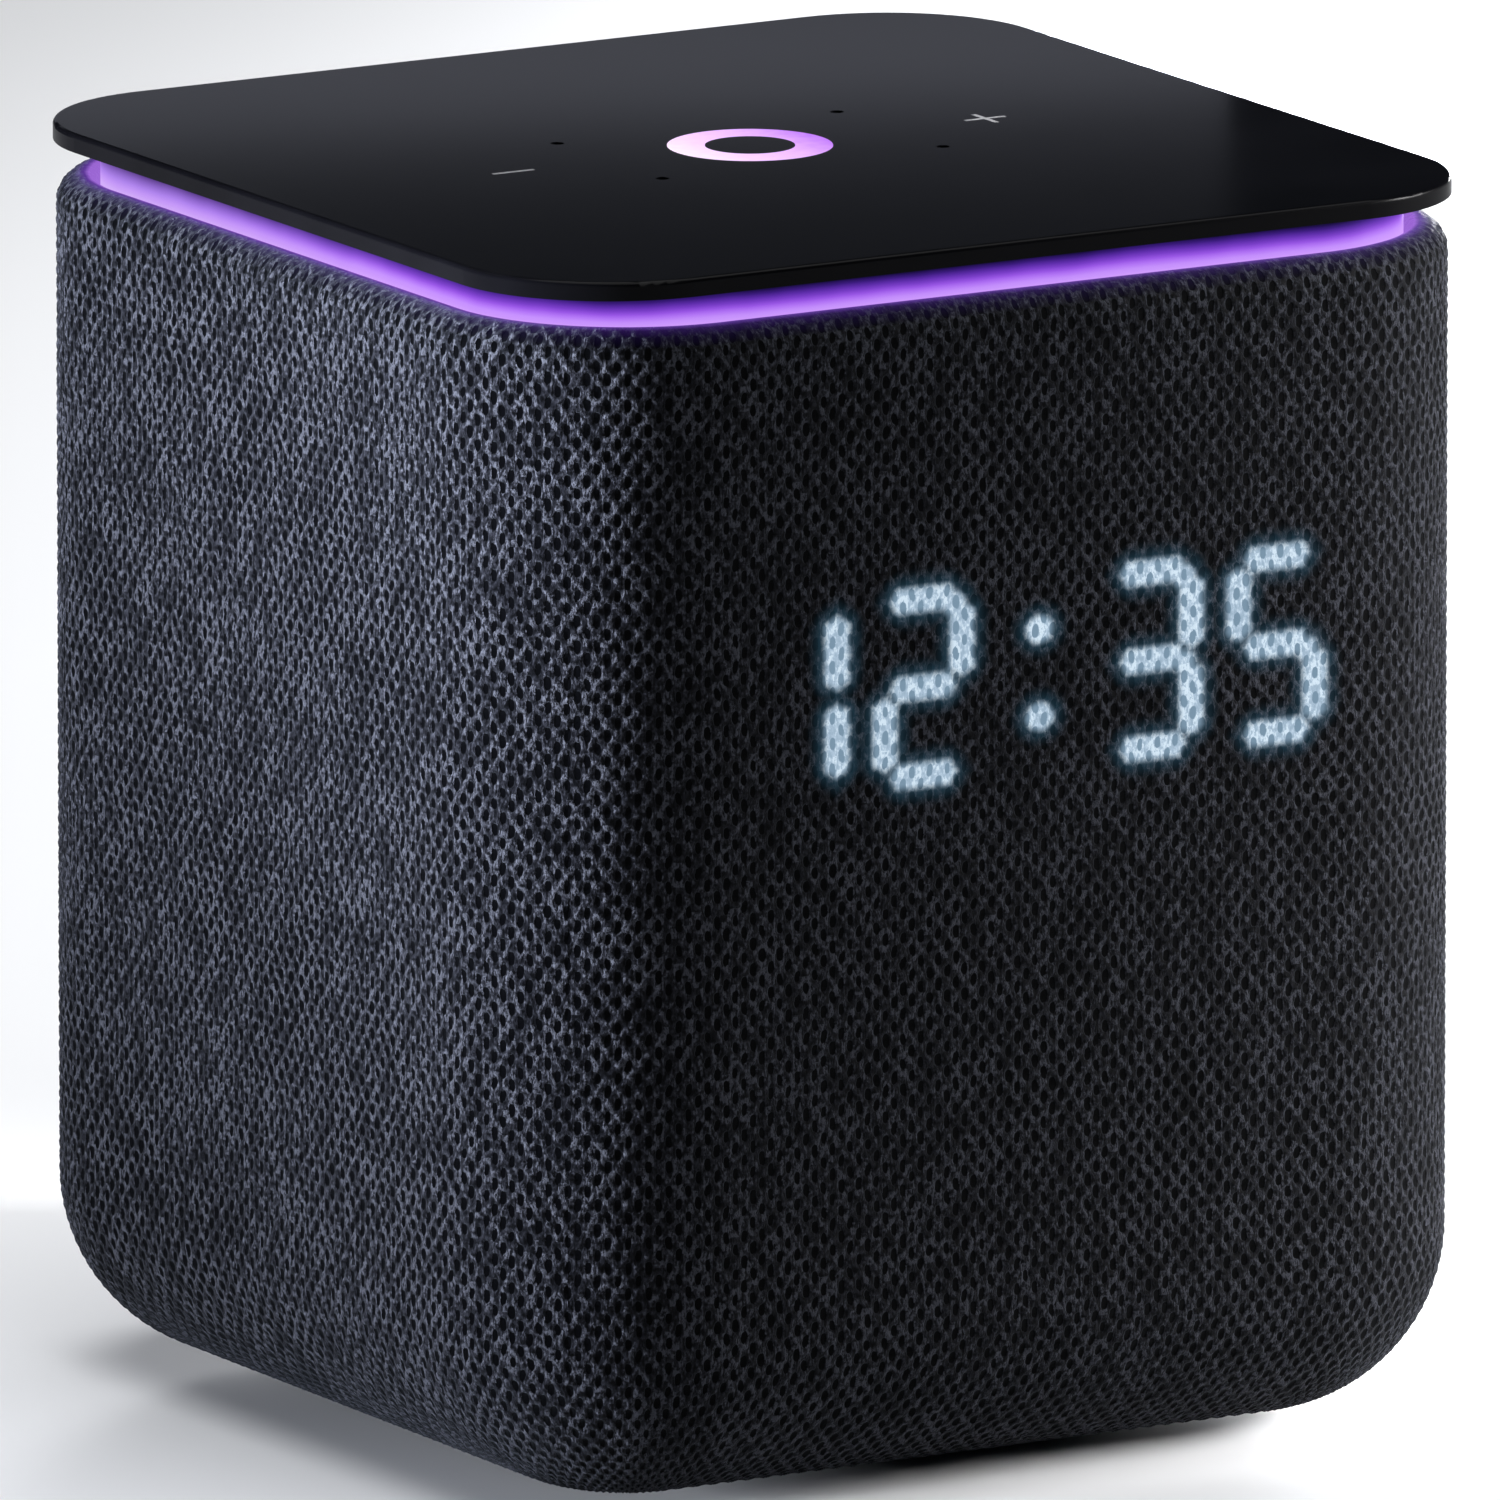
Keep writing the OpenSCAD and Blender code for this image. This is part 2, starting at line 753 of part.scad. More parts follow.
module woofer_basket() {
    color("#3c3e43") at_woofer() difference() {
        union() {
            linear_extrude(frame_t) rounded_rect(2 * woofer_half, 2 * woofer_half, 6);
            rotate_extrude() polygon([
                [frame_open_r - 1.2, 0], [frame_open_r - 0.1, 0.5], [basket_r + 1.2, shelf_z],
                [basket_r + 1.2, basket_z], [basket_r, basket_z], [basket_r, shelf_z]
            ]);
            tube(basket_r + 0.2, shelf_z - 1, shelf_z, 17.5);
            tube(basket_r + 0.2, basket_z, basket_z + 1.2, 12);
        }
        tube(frame_open_r - 1.2, -0.01, frame_t + 1);
        four(woofer_screw, woofer_screw) tube(1.6, -1, frame_t + 1);
        for (turn = [0:60:300]) rotate(turn + 30)
            block([16, -7, shelf_z + 1.5], [40, 7, -1.5]);
    }
}

module terminal_strip() {
    color("#a4743a") difference() {
        block([-7, -38, woofer_z + 18], [7, -34, woofer_z + 24]);
        at_woofer() tube(basket_r + 1.25, -30, 0);
    }
}

module woofer_top_plate() {
    color("#8d9095") at_woofer() tube(basket_r - 1, basket_z - plate_t, basket_z, gap_r);
}

module woofer_magnet() {
    color("#2e3033") at_woofer() tube(magnet_r, basket_z - plate_t - magnet_t, basket_z - plate_t, 13);
}

module woofer_yoke() {
    seat = basket_z - plate_t - magnet_t;
    color("#8d9095") at_woofer() difference() {
        union() {
            tube(magnet_r - 1.5, seat - 3, seat);
            tube(pole_r, seat - 1, basket_z);
        }
        tube(2, seat - 4, basket_z + 1);
    }
}

module voice_coil() {
    mid = basket_z - plate_t / 2;
    color("#b87333") at_woofer() {
        tube(coil_r, mid - former_low, neck_z, coil_r - 0.2);
        tube(coil_r + 0.5, mid - coil_h / 2, mid + coil_h / 2, coil_r);
    }
}

module woofer_cone() {
    color("#2a2b2f") at_woofer() rotate_extrude() polygon([
        [coil_r, neck_z - 1.6], [coil_r + 1, neck_z - 1.6], [cone_r + 0.4, 0.9], [cone_r + 0.4, frame_t],
        [cone_r - 1, frame_t], [cone_r - 1, frame_t - 0.8], [coil_r, neck_z]
    ]);
}

module dust_cap() {
    rise = 3.4;
    reach = coil_r + 0.9;
    ball = (reach * reach + rise * rise) / (2 * rise);
    color("#2a2b2f") at_woofer() rotate_extrude() intersection() {
        translate([0, rise - ball + neck_z + 0.6]) difference() {
            circle(ball);
            circle(ball - 0.5);
        }
        band(0, reach, neck_z + 0.85, 0);
    }
}

module cone_surround() {
    color("#1a1a1c") at_woofer() rotate_extrude() {
        translate([roll_mid, frame_t]) quarter_ring(roll_r, roll_t, 0);
        translate([roll_mid, frame_t]) quarter_ring(roll_r, roll_t, 90);
        band(roll_mid + roll_r - roll_t, roll_mid + roll_r + 1.6, frame_t, frame_t + roll_t);
        band(cone_r - 1, cone_r + roll_t, frame_t, frame_t + roll_t);
    }
}

// Corrugated disc that centres the coil
module spider() {
    waves = 4;
    inner = coil_r + 0.1;
    outer = basket_r - 0.4;
    rings = 32;
    function height(i) = shelf_z + 0.9 - 0.6 * cos(360 * waves * i / rings);
    function radius(i) = inner + (outer - inner) * i / rings;
    color("#b58a3c") at_woofer() rotate_extrude() polygon(concat(
        [for (i = [0:rings]) [radius(i), height(i)]],
        [for (i = [rings:-1:0]) [radius(i), height(i) - 0.3]]
    ));
}

// ---------- Rear panel ----------

module rear_panel() {
    color("#1b1c1f") difference() {
        union() {
            port_pill(0, port_back, port_face);
            port_pill(1.5, port_back, port_back + 1.5);
            at_rear(jack_x) tube(7, jack_face, port_back + 1);
        }
        at_rear(jack_x) tube(plug_recess_r, jack_face - 1, half + 1);
        at_rear(button_x) tube(button_r + 0.3, port_back - 1, half + 1);
    }
}

// Power socket with its centre pin
module dc_jack() {
    color("#26282c") at_rear(jack_x) {
        difference() {
            translate([-5, -5, port_board_y + board_t]) cube([10, 10, jack_face - port_board_y - board_t]);
            tube(2.9, port_board_y + board_t + 2, jack_face + 1);
        }
        tube(1, port_board_y + board_t + 1, jack_face - 1);
    }
}

module port_board() {
    color("#1f6b46") difference() {
        block([-16, port_board_y, port_z - 8.5], [16, port_board_y + board_t, port_z + 8.5]);
        at_port_screws() tube(1.1, port_board_y - 1, port_board_y + 3);
    }
}

module mute_switch() {
    face = port_board_y + board_t;
    color("#c9ccd2") at_rear(button_x) difference() {
        translate([-3, -3, face]) cube([6, 6, 3.4]);
        tube(1.9, face + 1.5, face + 4);
    }
}

// Round cap, retaining flange and long stem
module mute_button() {
    face = port_board_y + board_t;
    color("#d8d9dd") at_rear(button_x) {
        tube(button_r, port_back - 0.5, button_face);
        tube(button_r + 1.2, port_back - 0.8, port_back - 0.1);
        tube(1.5, face + 3.2, port_back - 0.5);
    }
}

// Return spring round the button's stem
module button_spring() {
    turns = 6;
    steps = 12;
    sides = 6;
    coil = 2.5;
    wire = 0.25;
    low = port_board_y + board_t + 3.4 + wire;
    rise = port_back - 0.8 - wire - low;
    rings = turns * steps;
    function point(i, j) = let (a = 360 * i / steps, r = coil + wire * cos(360 * j / sides))
        [r * cos(a), r * sin(a), low + rise * i / rings + wire * sin(360 * j / sides)];
    color("#b9bcc4") at_rear(button_x) polyhedron(
        points = [for (i = [0:rings], j = [0:sides - 1]) point(i, j)],
        faces = concat(
            [[for (j = [0:sides - 1]) j]],
            [for (i = [0:rings - 1], j = [0:sides - 1]) let (k = (j + 1) % sides)
                [i * sides + j, (i + 1) * sides + j, (i + 1) * sides + k, i * sides + k]],
            [[for (j = [sides - 1:-1:0]) rings * sides + j]]
        )
    );
}

// ---------- Base ----------

// Distance of a base screw from the middle, along X and along Y
function base_screw() = 29.5 * sin(45);

module base_cover() {
    color("#17181a") difference() {
        union() {
            tube(bottom_open_r - 0.3, skirt_z - 0.4, skirt_z + 0.8);
            tube(shell_open_r - 0.3, skirt_z - 0.4, skirt_z + 2.6);
            four(base_screw(), base_screw()) tube(3.6, skirt_z + 2, skirt_z + case_in);
        }
        tube(33.1, skirt_z - 1, skirt_z + 0.4, 25.9);
        four(base_screw(), base_screw()) {
            tube(2.7, skirt_z - 1, skirt_z + 2);
            tube(1.6, skirt_z + 1, skirt_z + case_in + 1);
        }
    }
}

module foot_ring() {
    color("#0e0e10") rotate_extrude() {
        band(26, 33, 0.4, skirt_z + 0.4);
        band(26.4, 32.6, 0, 0.4);
        translate([26.4, 0.4]) quarter(0.4, 180);
        translate([32.6, 0.4]) quarter(0.4, -90);
    }
}

// ---------- Screws ----------

module case_screws() {
    color("#9a9da3") {
        four(case_screw, case_screw) translate([0, 0, deck_z + 2]) screw(17);
        four(top_screw, top_screw) translate([0, 0, chassis_top + led_board_t + 2]) screw(12);
        four(base_screw(), base_screw()) translate([0, 0, skirt_z + 2]) mirror([0, 0, 1]) screw(5.4);
    }
}

module woofer_screws() {
    color("#9a9da3") at_woofer() four(woofer_screw, woofer_screw) translate([0, 0, frame_t]) screw(6);
}

module board_screws() {
    color("#9a9da3") {
        at_board_screws() translate([0, 0, board_z + board_t]) screw(7);
        at_port_screws() translate([0, 0, port_board_y + board_t]) screw(6, small_screw_r, 1.7, 1.2);
    }
}

top_panel();
volume_marks();
ring_light_pipe();
ring_centre_cap();
touch_board();
ring_light_board();
microphones();
top_frame();
band_light_guide();
band_led_board();
band_leds();
fabric_cover();
grille_shell();
display_diffuser();
display_mask();
display_board();
display_leds();
upper_chassis();
left_tweeter_body();
right_tweeter_body();
left_tweeter_dome();
right_tweeter_dome();
tweeter_suspensions();
tweeter_gaskets();
main_board();
shield_can();
heat_sink();
power_capacitors();
board_chips();
board_connectors();
antennas();
flat_cables();
power_ribbon_cable();
speaker_leads();
lead_grommet();
enclosure_body();
enclosure_gasket();
enclosure_lid();
woofer_gasket();
woofer_basket();
terminal_strip();
woofer_top_plate();
woofer_magnet();
woofer_yoke();
voice_coil();
woofer_cone();
dust_cap();
cone_surround();
spider();
rear_panel();
dc_jack();
port_board();
mute_switch();
mute_button();
button_spring();
base_cover();
foot_ring();
case_screws();
woofer_screws();
board_screws();
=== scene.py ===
"""Looks of the smart speaker: the knitted cover, the lit band, the clock and every material."""
import json
import math

import bmesh
import bpy
import numpy as np
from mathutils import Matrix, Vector


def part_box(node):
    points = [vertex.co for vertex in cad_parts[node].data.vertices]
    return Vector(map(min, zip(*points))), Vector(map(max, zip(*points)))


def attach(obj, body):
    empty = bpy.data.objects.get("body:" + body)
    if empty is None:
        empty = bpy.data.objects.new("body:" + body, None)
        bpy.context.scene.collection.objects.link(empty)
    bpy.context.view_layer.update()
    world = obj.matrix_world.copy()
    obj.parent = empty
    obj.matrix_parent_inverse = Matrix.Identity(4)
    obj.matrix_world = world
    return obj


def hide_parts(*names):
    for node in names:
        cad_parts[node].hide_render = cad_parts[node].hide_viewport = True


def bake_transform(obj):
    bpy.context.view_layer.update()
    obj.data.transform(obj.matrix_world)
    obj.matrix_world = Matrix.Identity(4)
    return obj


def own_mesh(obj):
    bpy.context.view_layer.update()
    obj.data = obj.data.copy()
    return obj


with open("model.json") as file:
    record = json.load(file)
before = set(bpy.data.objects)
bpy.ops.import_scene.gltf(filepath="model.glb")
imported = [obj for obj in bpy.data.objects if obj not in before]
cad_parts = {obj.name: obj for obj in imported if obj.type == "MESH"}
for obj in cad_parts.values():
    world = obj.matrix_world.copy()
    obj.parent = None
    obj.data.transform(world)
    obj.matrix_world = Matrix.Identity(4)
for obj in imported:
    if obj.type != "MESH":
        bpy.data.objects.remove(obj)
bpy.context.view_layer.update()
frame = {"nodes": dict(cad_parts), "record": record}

MM = 0.001
HOUSING = "housing"

# ---------- Sizes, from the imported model, in metres ----------

cover_low, cover_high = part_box("fabric_cover")
rear_low, rear_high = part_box("rear_panel")
ring_low, ring_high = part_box("ring_light_pipe")
screen_low, screen_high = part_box("display_diffuser")
panel_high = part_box("top_panel")[1]
guide_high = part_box("band_light_guide")[1]
base_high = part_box("base_cover")[1]

HALF = cover_high.x
# Radii of the cover's corner arcs, bottom curve, rim and inner lip, and how far the lip goes down
CORNER_R = 23.5 * MM
BOTTOM_R = 20 * MM
RIM_R = 3 * MM
LIP_R = 1.6 * MM
LIP_DEPTH = 5.4 * MM
SKIRT_Z = cover_low.z
RIM_Z = cover_high.z
SIDE_LOW_Z = SKIRT_Z + BOTTOM_R
SIDE_HIGH_Z = RIM_Z - RIM_R
HEM_R = base_high.x + 0.3 * MM
STRAIGHT = HALF - CORNER_R
HALF_ARC = CORNER_R * math.pi / 4
PANEL_LENGTH = 2 * STRAIGHT + 2 * HALF_ARC
# Length up the side, from the bottom curve, at which the rim is highest
CREST_V = SIDE_HIGH_Z - SIDE_LOW_Z + RIM_R * math.pi / 2

# ---------- The knit: slots in a brick pattern ----------

COLUMNS_PER_PANEL = 103
COLUMN_PITCH = PANEL_LENGTH / COLUMNS_PER_PANEL
ROW_PITCH = 2.70 * MM
STEPS_PER_COLUMN = 2
STEPS_PER_ROW = 6
HOLE_DEPTH = 0.34 * MM
HOLE_HALF_W = 0.37 * MM
HOLE_HALF_H = 0.68 * MM
# The slots fade out over these lengths above the bottom hem and below the rim's crest
FADE_LOW = 4 * MM
FADE_HIGH = 2.4 * MM
FADE_END_V = CREST_V - 0.4 * MM
# Flat underside: rows of faces, height of the turned-up hem, and rise of the cloth next to it
FLAT_ROWS = 14
HEM_TURN = 1.2 * MM
HEM_RISE = 0.35 * MM
# Round the rear panel: gap to the panel, how deep the cloth curls in, and how near the back face it does
REAR_GAP = 0.15 * MM
REAR_CURL = 0.8 * MM
REAR_REACH = 1.5 * MM

# ---------- Clock strokes, in millimetres from the middle of a digit ----------

DIGIT_X = {"1": -29.2, "2": -14.1, "3": 13.8, "5": 28.9}
UPRIGHT_X = 4.65
LEVEL_Z = 9.35
COLON_Z = 4.65
COLON_R = 1.65
COLON_FLATTEN = 1.12
# name: (x, z, upright)
STROKES = {
    "top": (0, LEVEL_Z, False),
    "middle": (0, 0, False),
    "bottom": (0, -LEVEL_Z, False),
    "upper_right": (UPRIGHT_X, LEVEL_Z / 2, True),
    "lower_right": (UPRIGHT_X, -LEVEL_Z / 2, True),
    "upper_left": (-UPRIGHT_X, LEVEL_Z / 2, True),
    "lower_left": (-UPRIGHT_X, -LEVEL_Z / 2, True),
}
LIT = {
    "1": ("upper_right", "lower_right"),
    "2": ("top", "upper_right", "middle", "lower_left", "bottom"),
    "3": ("top", "upper_right", "middle", "lower_right", "bottom"),
    "5": ("top", "upper_left", "middle", "lower_right", "bottom"),
}
# Half width and half length of a stroke
UPRIGHT_HALF = (1.46, 3.9)
LEVEL_HALF = (1.30, 3.95)
STROKE_TAPER = 0.55
# Dots that round off the joint of two strokes: digit, x, z
JOINTS = (("2", 3.75, 8.45), ("3", 3.75, 8.45), ("3", 3.9, -0.75), ("5", 3.75, -0.9))
JOINT_R = 1.3
# Distance that stands for no stroke near
DARK = 99.0

# ---------- Flexing rings ----------

# name, node, moving body, node the ring is centred on, across, outer and inner end of the bend in
# millimetres from the centre, sectors, side of the body (0 for both), finish
RINGS = (
    ("spider", "spider", "woofer_piston", "spider", Vector((1, 0, 0)), 16.2, 10.8, 16, 0, "spider_cloth"),
    ("cone_surround", "cone_surround", "woofer_piston", "cone_surround", Vector((1, 0, 0)),
     23.3, 21.35, 16, 0, "rubber"),
    ("left_suspension", "tweeter_suspensions", "left_tweeter_piston", "left_tweeter_dome",
     Vector((0, 1, 0)), 10.9, 10.05, 12, -1, "rubber"),
    ("right_suspension", "tweeter_suspensions", "right_tweeter_piston", "right_tweeter_dome",
     Vector((0, 1, 0)), 10.9, 10.05, 12, 1, "rubber"),
)
SHARP_ANGLE = math.radians(40)

# ---------- Return spring of the microphone button ----------

SPRING_WIRE_R = 0.25 * MM
SPRING_TURNS = 6
SPRING_STEPS_PER_TURN = 36
SPRING_SIDES = 10
# Pitch of the closed end turns, as a share of the others'
SPRING_END_PACE = 0.28


# ---------- Node helpers ----------

class Nodes:
    """Builds one node material, or the world, with short calls."""

    def __init__(self, tree):
        self.tree = tree

    def add(self, kind, inputs=None, **settings):
        node = self.tree.nodes.new(kind)
        for name, value in settings.items():
            setattr(node, name, value)
        for key, value in (inputs or {}).items():
            self.put(node.inputs[key], value)
        return node

    def put(self, socket, value):
        if isinstance(value, bpy.types.NodeSocket):
            self.tree.links.new(value, socket)
        elif isinstance(value, bpy.types.Node):
            self.tree.links.new(value.outputs[0], socket)
        else:
            socket.default_value = value

    def math(self, operation, a, b=0.0, c=0.0):
        return self.add("ShaderNodeMath", {0: a, 1: b, 2: c}, operation=operation)

    def stretch(self, where, scale):
        return self.add("ShaderNodeVectorMath", {0: where, 1: scale}, operation="MULTIPLY")

    def ramp(self, factor, *stops):
        node = self.add("ShaderNodeValToRGB", {0: factor})
        elements = node.color_ramp.elements
        while len(elements) < len(stops):
            elements.new(0.5)
        for element, (at, colour) in zip(elements, stops):
            element.position = at
            element.color = rgba(colour)
        return node

    def mix(self, factor, a, b, blend="MIX"):
        node = self.add("ShaderNodeMix", data_type="RGBA", blend_type=blend)
        self.put(node.inputs[0], factor)
        self.put(node.inputs[6], rgba(a) if isinstance(a, tuple) else a)
        self.put(node.inputs[7], rgba(b) if isinstance(b, tuple) else b)
        return node.outputs[2]

    def remap(self, value, low, high, to_low=0.0, to_high=1.0, smooth=False):
        return self.add(
            "ShaderNodeMapRange",
            {0: value, 1: low, 2: high, 3: to_low, 4: to_high},
            interpolation_type="SMOOTHSTEP" if smooth else "LINEAR",
        )

    def noise(self, where, scale, detail=2.0, roughness=0.5):
        return self.add(
            "ShaderNodeTexNoise",
            {"Vector": where, "Scale": scale, "Detail": detail, "Roughness": roughness},
        )

    def bump(self, height, strength, distance):
        return self.add("ShaderNodeBump", {"Height": height, "Strength": strength, "Distance": distance})


def rgba(colour):
    return (*colour[:3], 1.0)


def srgb(r, g, b):
    """Linear colour from 0-255 screen values."""
    def linear(v):
        v /= 255
        return v / 12.92 if v <= 0.04045 else ((v + 0.055) / 1.055) ** 2.4
    return (linear(r), linear(g), linear(b))


def new_material(name):
    material = bpy.data.materials.new(name)
    material.use_nodes = True
    shader = material.node_tree.nodes["Principled BSDF"]
    return material, Nodes(material.node_tree), shader


def object_coords(n, scale=(1, 1, 1)):
    coords = n.add("ShaderNodeTexCoord")
    return n.add("ShaderNodeMapping", {"Vector": coords.outputs["Object"], "Scale": scale})


# ---------- Knit geometry ----------

def outline_point(w, inset):
    """Points of the front panel's outline: w runs along it from corner middle to corner middle."""
    w = np.asarray(w, float)
    left = w < HALF_ARC
    right = w > PANEL_LENGTH - HALF_ARC
    angle = np.where(
        left, math.radians(225) + w / CORNER_R,
        np.where(right, math.radians(270) + (w - PANEL_LENGTH + HALF_ARC) / CORNER_R, math.radians(270)),
    )
    middle_x = np.where(left, -STRAIGHT, np.where(right, STRAIGHT, w - HALF_ARC - STRAIGHT))
    normal = np.stack([np.cos(angle), np.sin(angle)], -1)
    radius = CORNER_R - inset
    x = middle_x + radius * normal[..., 0]
    y = -STRAIGHT + radius * normal[..., 1]
    return x, y, normal


def profile(v):
    """Section of the cover: inset, height and slope for a length v up the side from the bottom curve."""
    side = SIDE_HIGH_Z - SIDE_LOW_Z
    outer = RIM_R * math.pi / 2
    inner = LIP_R * math.pi / 2
    if v < 0:
        t = -v / BOTTOM_R
        return BOTTOM_R * (1 - math.cos(t)), SIDE_LOW_Z - BOTTOM_R * math.sin(t), (math.cos(t), -math.sin(t))
    if v < side:
        return 0.0, SIDE_LOW_Z + v, (1.0, 0.0)
    if v < side + outer:
        t = (v - side) / RIM_R
        return RIM_R * (1 - math.cos(t)), SIDE_HIGH_Z + RIM_R * math.sin(t), (math.cos(t), math.sin(t))
    if v < side + outer + inner:
        t = (v - side - outer) / LIP_R
        return RIM_R + LIP_R * math.sin(t), RIM_Z - LIP_R * (1 - math.cos(t)), (-math.sin(t), math.cos(t))
    return RIM_R + LIP_R, RIM_Z - LIP_R - (v - side - outer - inner), (-1.0, 0.0)


def stroke_distance(x, z):
    """Distance in millimetres from the edge of the nearest lit stroke, below zero inside it."""
    best = np.full_like(x, DARK)
    bars = []
    for digit, strokes in LIT.items():
        for name in strokes:
            across, up, upright = STROKES[name]
            bars.append((DIGIT_X[digit] + across, up, upright))
    for cx, cz, upright in bars:
        half_w, half_l = UPRIGHT_HALF if upright else LEVEL_HALF
        across, along = (np.abs(x - cx), np.abs(z - cz)) if upright else (np.abs(z - cz), np.abs(x - cx))
        side = across - half_w
        end = (along + STROKE_TAPER * across - half_l) / math.hypot(1, STROKE_TAPER)
        outside = np.hypot(np.maximum(side, 0), np.maximum(end, 0))
        best = np.minimum(best, np.where((side > 0) | (end > 0), outside, np.maximum(side, end)))
    for digit, across, up in JOINTS:
        best = np.minimum(best, np.hypot(x - DIGIT_X[digit] - across, z - up) - JOINT_R)
    for sign in (-1, 1):
        best = np.minimum(best, np.hypot(x, (z - sign * COLON_Z) * COLON_FLATTEN) - COLON_R)
    return best


def wobble(u, v):
    """Slow drift of the stitches, in metres."""
    du = 0.10 * np.sin(u * 83 + v * 121) + 0.07 * np.sin(u * 311 - v * 173 + 1.3)
    du += 0.05 * np.sin(v * 640 + u * 90)
    dv = 0.14 * np.sin(u * 97 - v * 61 + 0.7) + 0.08 * np.sin(u * 402 + v * 233 + 2.1)
    return du * MM, dv * MM


def pill_distance(x, z):
    """Distance outside the rear panel's outline."""
    middle = (rear_low + rear_high) / 2
    radius = (rear_high.z - rear_low.z) / 2 + REAR_GAP
    reach = (rear_high.x - rear_low.x) / 2 - (rear_high.z - rear_low.z) / 2
    across = np.maximum(np.abs(x - middle.x) - reach, 0)
    return np.hypot(across, z - middle.z) - radius


def knit_panel(name, turn, u_start):
    """One of the four panels of the cover, turned about the body's axis by so many quarters."""
    columns = COLUMNS_PER_PANEL * STEPS_PER_COLUMN
    step_v = ROW_PITCH / STEPS_PER_ROW
    lowest = -BOTTOM_R * math.pi / 2
    top = (SIDE_HIGH_Z - SIDE_LOW_Z) + (RIM_R + LIP_R) * math.pi / 2 + LIP_DEPTH - LIP_R
    levels = [k * step_v for k in range(math.ceil(lowest / step_v), math.floor(top / step_v) + 1)]
    levels = [lowest] + levels + [top]
    w = np.linspace(0, PANEL_LENGTH, columns + 1)
    rows, uvs = [], []

    # Flat underside, from the hem to the bottom curve
    x0, y0, _ = outline_point(w, BOTTOM_R)
    reach = np.hypot(x0, y0)
    hem_x, hem_y = x0 / reach * HEM_R, y0 / reach * HEM_R
    rows.append(np.stack([hem_x, hem_y, np.full_like(w, SKIRT_Z + HEM_TURN)], -1))
    uvs.append(np.stack([w, lowest - (reach - HEM_R) - HEM_TURN], -1))
    for k in range(FLAT_ROWS):
        t = k / FLAT_ROWS
        z = np.full_like(w, SKIRT_Z + HEM_RISE * (1 - t) ** 6)
        rows.append(np.stack([hem_x + (x0 - hem_x) * t, hem_y + (y0 - hem_y) * t, z], -1))
        uvs.append(np.stack([w, lowest - (reach - HEM_R) * (1 - t)], -1))

    # Bottom curve, side, rim and lip
    for v in levels:
        inset, z, (out, up) = profile(v)
        x, y, normal = outline_point(w, inset)
        du, dv = wobble(u_start + w, np.full_like(w, v))
        lattice = np.cos(np.pi * (u_start + w + du) / COLUMN_PITCH) * np.cos(2 * np.pi * (v + dv) / ROW_PITCH)
        fade = np.clip((v - lowest) / FADE_LOW, 0, 1) * np.clip((FADE_END_V - v) / FADE_HIGH, 0, 1)
        sink = HOLE_DEPTH * (0.5 + 0.5 * lattice) * fade
        x = x - sink * out * normal[..., 0]
        y = y - sink * out * normal[..., 1]
        rows.append(np.stack([x, y, z - sink * up], -1))
        uvs.append(np.stack([w, np.full_like(w, v)], -1))

    points = np.array(rows)
    uv = np.array(uvs)
    n_rows, n_cols = points.shape[:2]

    # Light behind the cloth is at the front only
    light = np.full((n_rows, n_cols), DARK)
    if name == "knit_front":
        middle_z = (screen_low.z + screen_high.z) / 2
        across = (uv[..., 0] - PANEL_LENGTH / 2) / MM
        light = stroke_distance(across, (points[..., 2] - middle_z) / MM)

    # The cloth turns in round the rear panel
    keep = np.ones((n_rows - 1, n_cols - 1), bool)
    if name == "knit_back":
        away = pill_distance(-points[..., 0], points[..., 2])
        away[points[..., 1] > -HALF + REAR_REACH] = 1
        inside = away < 0
        corners = inside[:-1, :-1].astype(int) + inside[1:, :-1] + inside[:-1, 1:] + inside[1:, 1:]
        keep = corners < 4
        middle = (rear_low + rear_high) / 2
        reach_x = (rear_high.x - rear_low.x) / 2 - (rear_high.z - rear_low.z) / 2
        core_x = -middle.x + np.clip(points[..., 0] + middle.x, -reach_x, reach_x)
        out_x = points[..., 0] - core_x
        out_z = points[..., 2] - middle.z
        length = np.hypot(out_x, out_z)
        length[length == 0] = 1
        shift = np.where(inside, -away, 0)
        points[..., 0] += out_x / length * shift
        points[..., 2] += out_z / length * shift
        near = np.clip(1 - np.maximum(away, 0) / REAR_CURL, 0, 1)
        points[..., 1] += REAR_CURL * (1 - np.sqrt(1 - near ** 2))

    normals = grid_normals(points)
    turned = quarter_turn(points, turn)
    index = np.arange(n_rows * n_cols).reshape(n_rows, n_cols)
    faces = np.stack([index[:-1, :-1], index[:-1, 1:], index[1:, 1:], index[1:, :-1]], -1)[keep]
    used = np.unique(faces)
    renumber = np.full(n_rows * n_cols, -1)
    renumber[used] = np.arange(len(used))
    piece = mesh_piece(name, turned.reshape(-1, 3)[used].tolist(), renumber[faces].tolist())
    piece.data.normals_split_custom_set_from_vertices(quarter_turn(normals, turn).reshape(-1, 3)[used])
    weave = np.stack([uv[..., 0] + u_start, uv[..., 1], light * MM], -1).reshape(-1, 3)[used]
    attribute = piece.data.attributes.new("weave", "FLOAT_VECTOR", "POINT")
    attribute.data.foreach_set("vector", weave.ravel())
    return piece


def grid_normals(points):
    """Outward normals of a grid of points."""
    across = np.gradient(points, axis=1)
    up = np.gradient(points, axis=0)
    normal = np.cross(across, up)
    length = np.linalg.norm(normal, axis=-1, keepdims=True)
    length[length == 0] = 1
    return normal / length


def quarter_turn(points, turns):
    c, s = round(math.cos(turns * math.pi / 2)), round(math.sin(turns * math.pi / 2))
    x, y, z = points[..., 0], points[..., 1], points[..., 2]
    return np.stack([c * x - s * y, s * x + c * y, z], -1)


def mesh_piece(name, points, faces):
    """A smooth-shaded object from lists of points and faces."""
    mesh = bpy.data.meshes.new(name)
    mesh.from_pydata(points, [], faces)
    mesh.shade_smooth()
    piece = bpy.data.objects.new(name, mesh)
    bpy.context.scene.collection.objects.link(piece)
    return piece


